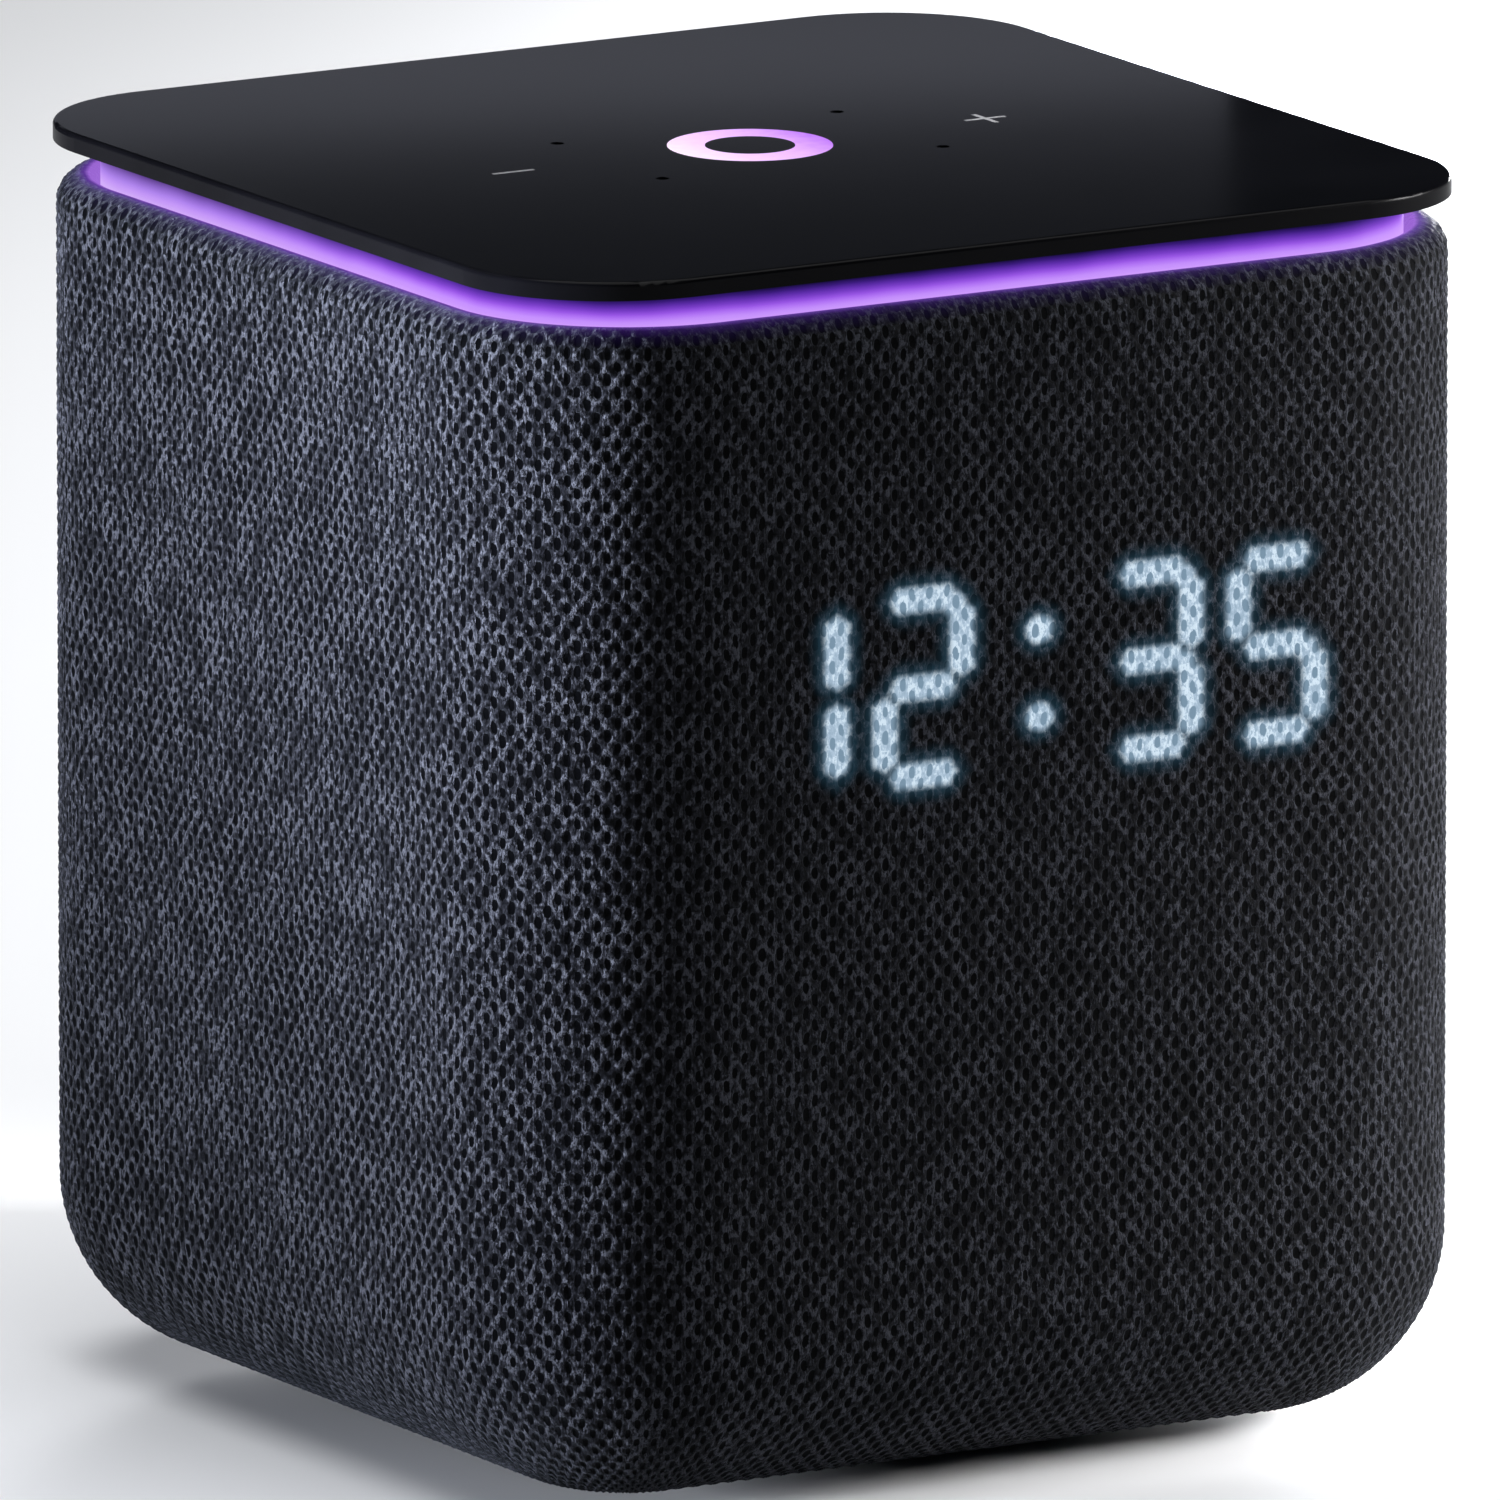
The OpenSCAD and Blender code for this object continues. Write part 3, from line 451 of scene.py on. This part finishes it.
def return_spring():
    """Coil spring behind the microphone button, with closed end turns, and its lowest and highest corners."""
    low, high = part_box("button_spring")
    middle = (low + high) / 2
    wire, turns, sides = SPRING_WIRE_R, SPRING_TURNS, SPRING_SIDES
    coil = (high.x - low.x) / 2 - wire
    turn = np.linspace(0, turns, turns * SPRING_STEPS_PER_TURN + 1)
    pace = np.where((turn < 1) | (turn > turns - 1), SPRING_END_PACE, 1.0)
    rise = np.concatenate([[0], np.cumsum((pace[1:] + pace[:-1]) / 2)])
    along = low.y + wire + (high.y - low.y - 2 * wire) * rise / rise[-1]
    around = 2 * math.pi * np.arange(sides) / sides
    radius = coil + wire * np.cos(around)[None, :]
    angle = 2 * math.pi * turn[:, None]
    points = np.stack([
        middle.x + radius * np.cos(angle),
        along[:, None] + wire * np.sin(around)[None, :] + 0 * angle,
        middle.z + radius * np.sin(angle),
    ], -1)
    rings = len(turn)
    faces = [
        (i * sides + j, i * sides + (j + 1) % sides, (i + 1) * sides + (j + 1) % sides, (i + 1) * sides + j)
        for i in range(rings - 1) for j in range(sides)
    ]
    faces.append(tuple(range(sides - 1, -1, -1)))
    faces.append(tuple((rings - 1) * sides + j for j in range(sides)))
    return mesh_piece("return_spring", points.reshape(-1, 3).tolist(), faces), low, high


def ring_sectors(name, node, middle, across, count, side):
    """Sectors of a flexing ring, cut from its node by planes through the middle; the node itself is hidden."""
    up = Vector((0, 0, 1))
    angles = [2 * math.pi * k / count for k in range(count + 1)]
    turned = [math.cos(angle) * across + math.sin(angle) * up for angle in angles]
    axis = across.cross(up)
    pieces = []
    for k in range(count):
        cut = bmesh.new()
        cut.from_mesh(frame["nodes"][node].data)
        if side:
            other_side = [v for v in cut.verts if v.co.x * side < 0]
            bmesh.ops.delete(cut, geom=other_side, context="VERTS")
        for edge, inward in ((turned[k], 1), (turned[k + 1], -1)):
            bmesh.ops.bisect_plane(
                cut, geom=cut.verts[:] + cut.edges[:] + cut.faces[:], plane_co=middle,
                plane_no=edge.cross(axis) * inward, clear_outer=True)
        mesh = bpy.data.meshes.new(f"{name}_{k + 1}")
        cut.to_mesh(mesh)
        cut.free()
        mesh.shade_smooth()
        mesh.set_sharp_from_angle(angle=SHARP_ANGLE)
        piece = bpy.data.objects.new(mesh.name, mesh)
        bpy.context.scene.collection.objects.link(piece)
        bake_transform(piece)
        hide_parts(node)
        pieces.append(piece)
    return pieces


# ---------- Materials ----------

def knit_material():
    """Charcoal knit: dark slots between raised yarn pads, lit from behind where the clock is."""
    material, n, shader = new_material("charcoal_knit")
    where = n.add("ShaderNodeAttribute", attribute_name="weave", attribute_type="GEOMETRY")
    split = n.add("ShaderNodeSeparateXYZ", {0: where.outputs["Vector"]})
    u, v, distance = split.outputs[0], split.outputs[1], split.outputs[2]

    # Uneven stitches: the pattern drifts a little from place to place
    drift = n.noise(where.outputs["Vector"], 420, 2.0)
    drift_split = n.add("ShaderNodeSeparateColor", {0: drift.outputs["Color"]})
    u = n.math("MULTIPLY_ADD", n.math("SUBTRACT", drift_split.outputs[0], 0.5), 0.35 * MM, u)
    v = n.math("MULTIPLY_ADD", n.math("SUBTRACT", drift_split.outputs[1], 0.5), 0.45 * MM, v)

    column = n.math("DIVIDE", u, COLUMN_PITCH)
    column_index = n.math("ROUND", column)
    du = n.math("MULTIPLY", n.math("SUBTRACT", column, column_index), COLUMN_PITCH)
    odd = n.math("MULTIPLY", n.math("PINGPONG", column_index, 1.0), 0.5)
    row = n.math("SUBTRACT", n.math("DIVIDE", v, ROW_PITCH), odd)
    row_index = n.math("ROUND", row)
    dv = n.math("MULTIPLY", n.math("SUBTRACT", row, row_index), ROW_PITCH)
    slant = n.math("SIGN", n.math("MULTIPLY", du, dv))
    cell = n.add("ShaderNodeCombineXYZ", {0: column_index, 1: n.math("ADD", row_index, odd), 2: slant})
    chance = n.add("ShaderNodeTexWhiteNoise", {"Vector": cell}, noise_dimensions="3D")
    chance_split = n.add("ShaderNodeSeparateColor", {0: chance.outputs["Color"]})

    # Slot: a superellipse of slightly varying size
    size = n.remap(chance_split.outputs[0], 0, 1, 0.84, 1.12)
    across = n.math("ABSOLUTE", n.math("DIVIDE", du, n.math("MULTIPLY", size, HOLE_HALF_W)))
    along = n.math("ABSOLUTE", n.math("DIVIDE", dv, n.math("MULTIPLY", size, HOLE_HALF_H)))
    slot_shape = n.math("ADD", n.math("POWER", across, 2.2), n.math("POWER", along, 2.6))
    yarn = n.remap(slot_shape, 0.72, 1.28, smooth=True)
    closed = n.remap(v, CREST_V - 2.2 * MM, CREST_V - 0.6 * MM, smooth=True)
    yarn = n.math("MAXIMUM", yarn, n.math("MULTIPLY", closed, 0.8))

    # Strands: a net of slanting yarns that cross between the slots of a column
    off_strand = n.math("MULTIPLY_ADD", n.math("ABSOLUTE", dv), 2 / ROW_PITCH, -1.0)
    off_strand = n.math("MULTIPLY_ADD", n.math("ABSOLUTE", du), 1 / COLUMN_PITCH, off_strand)
    strand = n.remap(n.math("ABSOLUTE", off_strand), 0.52, 0.0, smooth=True)

    # Filaments, flecks of a stitch's size, broad patches, and a chance for each stitch
    fibres = n.noise(n.stretch(where.outputs["Vector"], (3600, 1700, 0)), 1.0, 3.0, 0.65)
    fibre = n.remap(fibres.outputs["Fac"], 0.38, 0.62, 0.20, 1.80)
    flecks = n.noise(n.stretch(where.outputs["Vector"], (1900, 1300, 0)), 1.0, 1.0)
    fleck = n.remap(flecks.outputs["Fac"], 0.36, 0.66, 0.40, 1.75)
    patches = n.noise(where.outputs["Vector"], 160, 2.0)
    patch = n.remap(patches.outputs["Fac"], 0.3, 0.7, 0.80, 1.20)
    stitch = n.remap(n.math("POWER", chance_split.outputs[1], 2.4), 0, 1, 0.55, 2.30)
    bright = n.math("MULTIPLY_ADD", strand, 0.18, 0.68)
    for part in (fibre, patch, fleck, stitch):
        bright = n.math("MULTIPLY", bright, part)
    level = n.math("MULTIPLY", yarn, bright)
    # The lowest stop paints the slots near black: partly the dark shell seen through the real holes, partly painted
    # shade inside them
    colour = n.ramp(
        n.math("MULTIPLY", level, 0.55),
        (0.0, (0.0002, 0.0002, 0.0004)), (0.17, (0.0026, 0.0028, 0.0038)), (0.39, (0.0076, 0.0080, 0.0106)),
        (0.56, (0.0130, 0.0136, 0.0176)), (1.0, (0.038, 0.040, 0.050)),
    )
    n.put(shader.inputs["Base Color"], colour.outputs[0])
    n.put(shader.inputs["Roughness"], n.remap(yarn, 0, 1, 0.95, 0.72))
    shader.inputs["Specular IOR Level"].default_value = 0.06
    shader.inputs["Sheen Weight"].default_value = 0.03
    shader.inputs["Sheen Roughness"].default_value = 0.45
    shader.inputs["Sheen Tint"].default_value = (0.75, 0.84, 1.0, 1.0)

    height = n.math("MULTIPLY", yarn, n.math("MULTIPLY_ADD", strand, 0.20, 0.55))
    height = n.math("ADD", height, n.math("MULTIPLY", level, 0.3))
    n.put(shader.inputs["Normal"], n.bump(height, 0.9, 0.24 * MM))

    # Light through the cloth: the yarn glows, the slots less so, and a faint teal halo surrounds each stroke
    inside = n.remap(distance, 0.55 * MM, -0.60 * MM, smooth=True)
    halo = n.remap(distance, 2.8 * MM, 0.0, smooth=True)
    halo = n.math("MULTIPLY", n.math("POWER", halo, 2.0), n.remap(yarn, 0, 1, 0.7, 1.0))
    threads = n.math("MULTIPLY", yarn, n.remap(bright, 0.1, 1.2, 0.45, 1.0))
    lit = n.ramp(threads, (0.0, srgb(122, 148, 169)), (0.35, srgb(148, 172, 192)), (0.7, srgb(176, 198, 218)),
                 (1.0, srgb(208, 227, 241)))
    faint = n.mix(halo, (0, 0, 0), (0.010, 0.034, 0.054))
    clock = n.mix(inside, faint, lit.outputs[0])

    # The band's light soaks into the rim
    rim_light = n.ramp(
        n.remap(v, CREST_V - 3.4 * MM, CREST_V + 1.0 * MM), (0.0, (0, 0, 0)), (0.3, (0.0035, 0.0012, 0.015)),
        (0.55, (0.018, 0.006, 0.065)), (0.78, (0.11, 0.040, 0.31)), (0.90, (0.32, 0.13, 0.64)),
    ).outputs[0]
    n.put(shader.inputs["Emission Color"], n.mix(1.0, clock, rim_light, "ADD"))
    shader.inputs["Emission Strength"].default_value = 1.0
    return material


def panel_material():
    """Satin black touch panel with a very fine grain."""
    material, n, shader = new_material("satin_black_panel")
    where = object_coords(n)
    fine = n.noise(where, 9000, 2.0)
    broad = n.noise(where, 60, 3.0)
    n.put(shader.inputs["Base Color"], n.ramp(
        broad.outputs["Fac"], (0.3, (0.0008, 0.0008, 0.0011)), (0.7, (0.0014, 0.0014, 0.0019))).outputs[0])
    height = n.add("ShaderNodeSeparateXYZ", {0: where}).outputs[2]
    top = n.remap(height, panel_high.z - 0.45 * MM, panel_high.z - 0.1 * MM, 0.34, 0.20, smooth=True)
    n.put(shader.inputs["Roughness"], n.math("ADD", top, n.remap(fine.outputs["Fac"], 0.3, 0.7, -0.02, 0.03)))
    shader.inputs["Specular IOR Level"].default_value = 0.05
    n.put(shader.inputs["Normal"], n.bump(fine.outputs["Fac"], 0.05, 0.01 * MM))
    return material


def sign_material():
    """Grey print of the signs on the panel."""
    material, n, shader = new_material("printed_sign")
    grain = n.noise(object_coords(n), 7000, 2.0)
    n.put(shader.inputs["Base Color"], n.ramp(
        grain.outputs["Fac"], (0.3, (0.13, 0.13, 0.14)), (0.7, (0.24, 0.24, 0.25))).outputs[0])
    shader.inputs["Roughness"].default_value = 0.5
    return material


def ring_material():
    """Lit ring: nearly white on the left, violet on the right."""
    material, n, shader = new_material("lit_ring")
    where = object_coords(n)
    x = n.add("ShaderNodeSeparateXYZ", {0: where}).outputs[0]
    along = n.remap(x, ring_low.x, ring_high.x)
    cloud = n.noise(where, 700, 2.0)
    along = n.math("ADD", along, n.remap(cloud.outputs["Fac"], 0.3, 0.7, -0.04, 0.04))
    colour = n.ramp(
        along, (0.0, srgb(252, 232, 255)), (0.3, srgb(240, 200, 255)), (0.65, srgb(224, 172, 252)),
        (1.0, srgb(176, 104, 232)),
    )
    n.put(shader.inputs["Base Color"], n.mix(0.9, colour.outputs[0], (0.02, 0.01, 0.03)))
    n.put(shader.inputs["Emission Color"], colour.outputs[0])
    shader.inputs["Emission Strength"].default_value = 0.95
    shader.inputs["Roughness"].default_value = 0.4
    return material


def band_material():
    """Lit band: dark violet under the panel, brightest at the cover's rim. The dark top is partly painted shade of
    the panel, and the paler back is painted light of the key lamp.
    """
    material, n, shader = new_material("lit_band")
    where = object_coords(n)
    split = n.add("ShaderNodeSeparateXYZ", {0: where})
    # Darker towards the top: partly the light guide's own falloff from its lamps below, partly painted shade under
    # the panel
    height = n.remap(split.outputs[2], RIM_Z - 0.6 * MM, guide_high.z - 0.6 * MM)
    cloud = n.noise(where, 90, 2.0)
    height = n.math("ADD", height, n.remap(cloud.outputs["Fac"], 0.3, 0.7, -0.04, 0.04))
    # Painted light: towards the back (+y) the band turns into a paler copy, where the key lamp lights it
    left = n.remap(split.outputs[1], -STRAIGHT, STRAIGHT, smooth=True)
    violet = n.ramp(
        height, (0.0, srgb(210, 160, 254)), (0.22, srgb(196, 143, 251)), (0.35, srgb(178, 116, 245)),
        (0.47, srgb(152, 85, 228)), (0.59, srgb(121, 61, 199)), (0.71, srgb(92, 43, 168)),
        (0.83, srgb(58, 25, 124)), (0.95, srgb(24, 8, 66)),
    )
    # Paler copy of the ramp: painted light of the key lamp on the band
    pale = n.ramp(
        height, (0.0, srgb(210, 172, 248)), (0.2, srgb(196, 152, 245)), (0.4, srgb(172, 130, 232)),
        (0.6, srgb(138, 100, 196)), (0.8, srgb(88, 58, 134)), (0.95, srgb(46, 30, 82)),
    )
    colour = n.mix(left, violet.outputs[0], pale.outputs[0])
    n.put(shader.inputs["Base Color"], n.mix(0.998, colour, (0.0006, 0.0003, 0.0012)))
    n.put(shader.inputs["Emission Color"], colour)
    shader.inputs["Emission Strength"].default_value = 1.0
    shader.inputs["Specular IOR Level"].default_value = 0.05
    shader.inputs["Roughness"].default_value = 0.6
    return material


def moulded(name, colour, rough=0.5, grain=2500, depth=0.03, variation=0.25, specular=0.5):
    """Moulded plastic or rubber with an even grain."""
    material, n, shader = new_material(name)
    where = object_coords(n)
    fine = n.noise(where, grain, 2.0)
    broad = n.noise(where, 45, 3.0)
    dark = tuple(c * (1 - variation) for c in colour)
    light = tuple(min(1, c * (1 + variation)) for c in colour)
    n.put(shader.inputs["Base Color"], n.ramp(
        n.math("MULTIPLY_ADD", fine.outputs["Fac"], 0.4, n.math("MULTIPLY", broad.outputs["Fac"], 0.6)),
        (0.35, dark), (0.65, light)).outputs[0])
    smoothest = max(rough - 0.06, 0.05)
    n.put(shader.inputs["Roughness"], n.remap(fine.outputs["Fac"], 0.3, 0.7, smoothest, rough + 0.06))
    shader.inputs["Specular IOR Level"].default_value = specular
    n.put(shader.inputs["Normal"], n.bump(fine.outputs["Fac"], 0.4, depth * MM))
    return material


def metal(name, colour, rough=0.3, stretch=(1, 1, 30), scale=300):
    """Metal with fine drawn lines."""
    material, n, shader = new_material(name)
    lines = n.noise(object_coords(n, stretch), scale, 4.0, 0.65)
    dark = tuple(c * 0.78 for c in colour)
    n.put(shader.inputs["Base Color"], n.ramp(lines.outputs["Fac"], (0.3, dark), (0.7, colour)).outputs[0])
    n.put(shader.inputs["Roughness"], n.remap(lines.outputs["Fac"], 0.3, 0.7, rough + 0.12, rough - 0.05))
    shader.inputs["Metallic"].default_value = 1.0
    n.put(shader.inputs["Normal"], n.bump(lines.outputs["Fac"], 0.15, 0.02 * MM))
    return material


def board_material(name, mask, copper):
    """Circuit board: solder mask over a net of tracks and dots."""
    material, n, shader = new_material(name)
    where = object_coords(n)
    tracks = n.add(
        "ShaderNodeTexVoronoi", {"Vector": where, "Scale": 420.0}, feature="DISTANCE_TO_EDGE", distance="MANHATTAN")
    dots = n.add("ShaderNodeTexVoronoi", {"Vector": where, "Scale": 520.0}, feature="F1")
    line = n.remap(tracks.outputs["Distance"], 0.03, 0.05, 1.0, 0.0)
    dot = n.remap(dots.outputs["Distance"], 0.10, 0.13, 1.0, 0.0)
    track_colour = tuple(c * 1.6 + 0.01 for c in mask)
    light_mask = tuple(c * 1.2 for c in mask)
    mask_colour = n.ramp(n.noise(where, 80).outputs["Fac"], (0.3, mask), (0.7, light_mask)).outputs[0]
    colour = n.mix(line, mask_colour, track_colour)
    n.put(shader.inputs["Base Color"], n.mix(dot, colour, copper))
    n.put(shader.inputs["Roughness"], n.remap(line, 0, 1, 0.32, 0.42))
    n.put(shader.inputs["Normal"], n.bump(line, 0.3, 0.03 * MM))
    return material


def coil_material():
    """Copper wire wound side by side."""
    material, n, shader = new_material("copper_winding")
    where = object_coords(n)
    y = n.add("ShaderNodeSeparateXYZ", {0: where}).outputs[1]
    wires = n.math("ABSOLUTE", n.math("SINE", n.math("MULTIPLY", y, math.pi / (0.18 * MM))))
    n.put(shader.inputs["Base Color"], n.ramp(
        wires, (0.0, (0.16, 0.05, 0.02)), (0.7, (0.72, 0.32, 0.15))).outputs[0])
    shader.inputs["Metallic"].default_value = 1.0
    shader.inputs["Roughness"].default_value = 0.3
    n.put(shader.inputs["Normal"], n.bump(wires, 0.7, 0.05 * MM))
    return material


def paper_material():
    """Coated paper cone with pulp fibres."""
    material, n, shader = new_material("cone_paper")
    pulp = n.noise(object_coords(n, (1, 3, 1)), 900, 5.0, 0.7)
    n.put(shader.inputs["Base Color"], n.ramp(
        pulp.outputs["Fac"], (0.3, (0.016, 0.016, 0.018)), (0.7, (0.045, 0.045, 0.048))).outputs[0])
    shader.inputs["Roughness"].default_value = 0.8
    n.put(shader.inputs["Normal"], n.bump(pulp.outputs["Fac"], 0.5, 0.08 * MM))
    return material


def cloth_material(name, colour):
    """Woven cloth, threads crossing at right angles."""
    material, n, shader = new_material(name)
    split = n.add("ShaderNodeSeparateXYZ", {0: object_coords(n)})
    warp = n.math("ABSOLUTE", n.math("SINE", n.math("MULTIPLY", split.outputs[0], math.pi / (0.5 * MM))))
    weft = n.math("ABSOLUTE", n.math("SINE", n.math("MULTIPLY", split.outputs[2], math.pi / (0.5 * MM))))
    threads = n.math("MAXIMUM", warp, weft)
    n.put(shader.inputs["Base Color"], n.ramp(
        threads, (0.5, tuple(c * 0.4 for c in colour)), (1.0, colour)).outputs[0])
    shader.inputs["Roughness"].default_value = 0.85
    n.put(shader.inputs["Normal"], n.bump(threads, 0.6, 0.1 * MM))
    return material


def ribbon_material():
    """Flat cable: white insulation over side-by-side conductors."""
    material, n, shader = new_material("flat_cable")
    x = n.add("ShaderNodeSeparateXYZ", {0: object_coords(n)}).outputs[0]
    wires = n.math("ABSOLUTE", n.math("SINE", n.math("MULTIPLY", x, math.pi / (1.0 * MM))))
    n.put(shader.inputs["Base Color"], n.ramp(
        wires, (0.1, (0.75, 0.73, 0.66)), (0.6, (0.55, 0.52, 0.44))).outputs[0])
    shader.inputs["Roughness"].default_value = 0.4
    n.put(shader.inputs["Normal"], n.bump(wires, 0.4, 0.05 * MM))
    return material


def lamp_material(name, colour, light):
    """Lamps and the light sheet: milky plastic with a soft glow."""
    material, n, shader = new_material(name)
    cloud = n.noise(object_coords(n), 500, 2.0)
    dim = tuple(c * 0.85 for c in colour)
    n.put(shader.inputs["Base Color"], n.ramp(cloud.outputs["Fac"], (0.3, dim), (0.7, colour)).outputs[0])
    n.put(shader.inputs["Roughness"], n.remap(cloud.outputs["Fac"], 0.3, 0.7, 0.35, 0.5))
    shader.inputs["Emission Color"].default_value = rgba(colour)
    shader.inputs["Emission Strength"].default_value = light
    return material


def dress():
    """Gives every CAD node its material, by the record's material slot."""
    black = (0.0105, 0.0107, 0.0122)
    looks = {
        "panel_black": panel_material(),
        "sign_grey": sign_material(),
        "ring_lens": ring_material(),
        "band_lens": band_material(),
        "black_plastic": moulded("black_plastic", black, 0.52, 3200, 0.05),
        "grey_plastic": moulded("grey_plastic", (0.030, 0.031, 0.035), 0.5, 2600, 0.05),
        "rubber": moulded("rubber", (0.012, 0.012, 0.013), 0.78, 1800, 0.06, 0.3, 0.3),
        "circuit_board": board_material("green_board", (0.008, 0.060, 0.026), (0.75, 0.60, 0.30)),
        "white_board": board_material("white_board", (0.60, 0.60, 0.57), (0.70, 0.68, 0.62)),
        "led": lamp_material("lamp_packages", (0.85, 0.82, 0.68), 0.15),
        "display_lens": lamp_material("light_sheet", (0.62, 0.68, 0.78), 0.35),
        "tin": metal("tinned_sheet", (0.72, 0.73, 0.75), 0.25, (1, 20, 1)),
        "aluminium": metal("aluminium", (0.68, 0.69, 0.71), 0.35),
        "steel": metal("zinc_plated_steel", (0.56, 0.57, 0.60), 0.3),
        "ferrite": moulded("ferrite", (0.022, 0.022, 0.024), 0.7, 1500, 0.08, 0.35, 0.4),
        "basket_paint": moulded("basket_paint", (0.026, 0.027, 0.030), 0.42, 2200, 0.05),
        "copper": coil_material(),
        "paper_cone": paper_material(),
        "dome_metal": metal("dome_metal", (0.66, 0.67, 0.71), 0.25, (1, 1, 1), 900),
        "spider_cloth": cloth_material("spider_cloth", (0.42, 0.24, 0.08)),
        "connector": moulded("connector_nylon", (0.62, 0.58, 0.47), 0.5, 1500, 0.03, 0.12),
        "chip": moulded("chip_mould", (0.012, 0.012, 0.014), 0.55, 2600, 0.04),
        "antenna": metal("antenna_film", (0.78, 0.48, 0.24), 0.3, (20, 1, 1)),
        "ribbon": ribbon_material(),
        "lead_red": moulded("red_lead", (0.30, 0.012, 0.010), 0.4, 1500, 0.02, 0.15),
        "brown_strip": moulded("brown_strip", (0.13, 0.055, 0.020), 0.6, 1200, 0.04, 0.3),
        "button_white": moulded("button_satin", (0.19, 0.195, 0.21), 0.42, 3000, 0.03, 0.1),
        "knit": knit_material(),
    }
    for part in frame["record"]["subparts"]:
        mesh = frame["nodes"][part["node"]].data
        mesh.materials.clear()
        mesh.materials.append(looks[part["material_slot"]])
    return looks


# ---------- Room ----------

def stage():
    """Pale floor, soft lights and the world's light."""
    floor = mesh_piece("floor", [(-6, -6, 0), (6, -6, 0), (6, 6, 0), (-6, 6, 0)], [(0, 1, 2, 3)])
    material, n, shader = new_material("pale_floor")
    cloud = n.noise(object_coords(n), 3, 2.0)
    n.put(shader.inputs["Base Color"], n.ramp(
        cloud.outputs["Fac"], (0.3, (0.86, 0.86, 0.87)), (0.7, (0.90, 0.90, 0.91))).outputs[0])
    shader.inputs["Roughness"].default_value = 0.9
    shader.inputs["Specular IOR Level"].default_value = 0.1
    floor.data.materials.append(material)

    # The key gives no highlights, so that the panel's edge stays dark
    area_light("key_left", (-1.6, 0.562, 0.12), (0, -0.30, 0.284), 0.39, 0.154, 22.0, (0.86, 0.90, 0.99),
               spread=23.7, glossy=False)
    area_light("overhead", (0.1, -0.2, 2.2), (0, 0, 0), 2.6, 2.6, 60, (0.98, 0.99, 1.0))
    # Mirrored in the panel's back half
    area_light("back_strip", (0.028, 0.085, 0.143), (0.003, 0, 0.134), 0.145, 0.014, 0.0023,
               (0.83, 0.86, 1.02))
    area_light("fill_right", (0.166, -0.082, 0.121), (0, 0.019, 0.051), 0.086, 0.18, 0.29, (1.0, 0.99, 0.99),
               spread=38.9)
    area_light("behind_right", (0.75, 0.85, 0.075), (0, 0, 0.085), 0.3, 0.09, 1.7, (0.96, 0.97, 1.0), spread=40)

    world = bpy.data.worlds.new("room")
    world.use_nodes = True
    bpy.context.scene.world = world
    background = world.node_tree.nodes["Background"]
    background.inputs["Color"].default_value = (0.70, 0.80, 1.0, 1)
    background.inputs["Strength"].default_value = 0.022


def area_light(name, place, target, width, height, power, colour, spread=180, glossy=True):
    """A rectangular lamp that the camera doesn't see; spread is the angle of its beam in degrees."""
    light = bpy.data.lights.new(name, "AREA")
    light.shape = "RECTANGLE"
    light.size, light.size_y = width, height
    light.energy = power
    light.color = colour
    light.spread = math.radians(spread)
    lamp = bpy.data.objects.new(name, light)
    lamp.visible_camera = False
    lamp.visible_glossy = glossy
    bpy.context.scene.collection.objects.link(lamp)
    lamp.location = place
    lamp.rotation_euler = (Vector(target) - Vector(place)).to_track_quat("-Z", "Y").to_euler()


def camera():
    """The view of the near upright corner, from a long way off."""
    azimuth, elevation, distance = math.radians(-30.35), math.radians(12.0), 4.368
    aim = Vector((0, 0, 0.0688))
    data = bpy.data.cameras.new("camera")
    data.sensor_width = 36
    data.lens = 991.6
    data.clip_start, data.clip_end = 0.1, 50
    eye = bpy.data.objects.new("camera", data)
    bpy.context.scene.collection.objects.link(eye)
    flat = math.cos(elevation)
    away = Vector((math.sin(azimuth) * flat, -math.cos(azimuth) * flat, math.sin(elevation)))
    eye.location = aim + away * distance
    eye.rotation_euler = (-away).to_track_quat("-Z", "Y").to_euler()
    bpy.context.scene.camera = eye


# ---------- Build ----------

bpy.context.scene.view_settings.view_transform = "Standard"
camera()
stage()
looks = dress()
for turn, side in enumerate(("front", "right", "back", "left")):
    piece = knit_panel(f"knit_{side}", turn, turn * PANEL_LENGTH)
    piece.data.materials.append(looks["knit"])
    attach(piece, HOUSING)
    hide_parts("fabric_cover")

for name, node, body, centre, across, outer_r, inner_r, count, side, finish in RINGS:
    low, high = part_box(centre)
    middle = (low + high) / 2
    for piece in ring_sectors(name, node, middle, across, count, side):
        piece.data.materials.append(looks[finish])

spring, spring_low, spring_high = return_spring()
spring.data.materials.append(looks["steel"])
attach(spring, HOUSING)
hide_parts("button_spring")
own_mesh(spring)
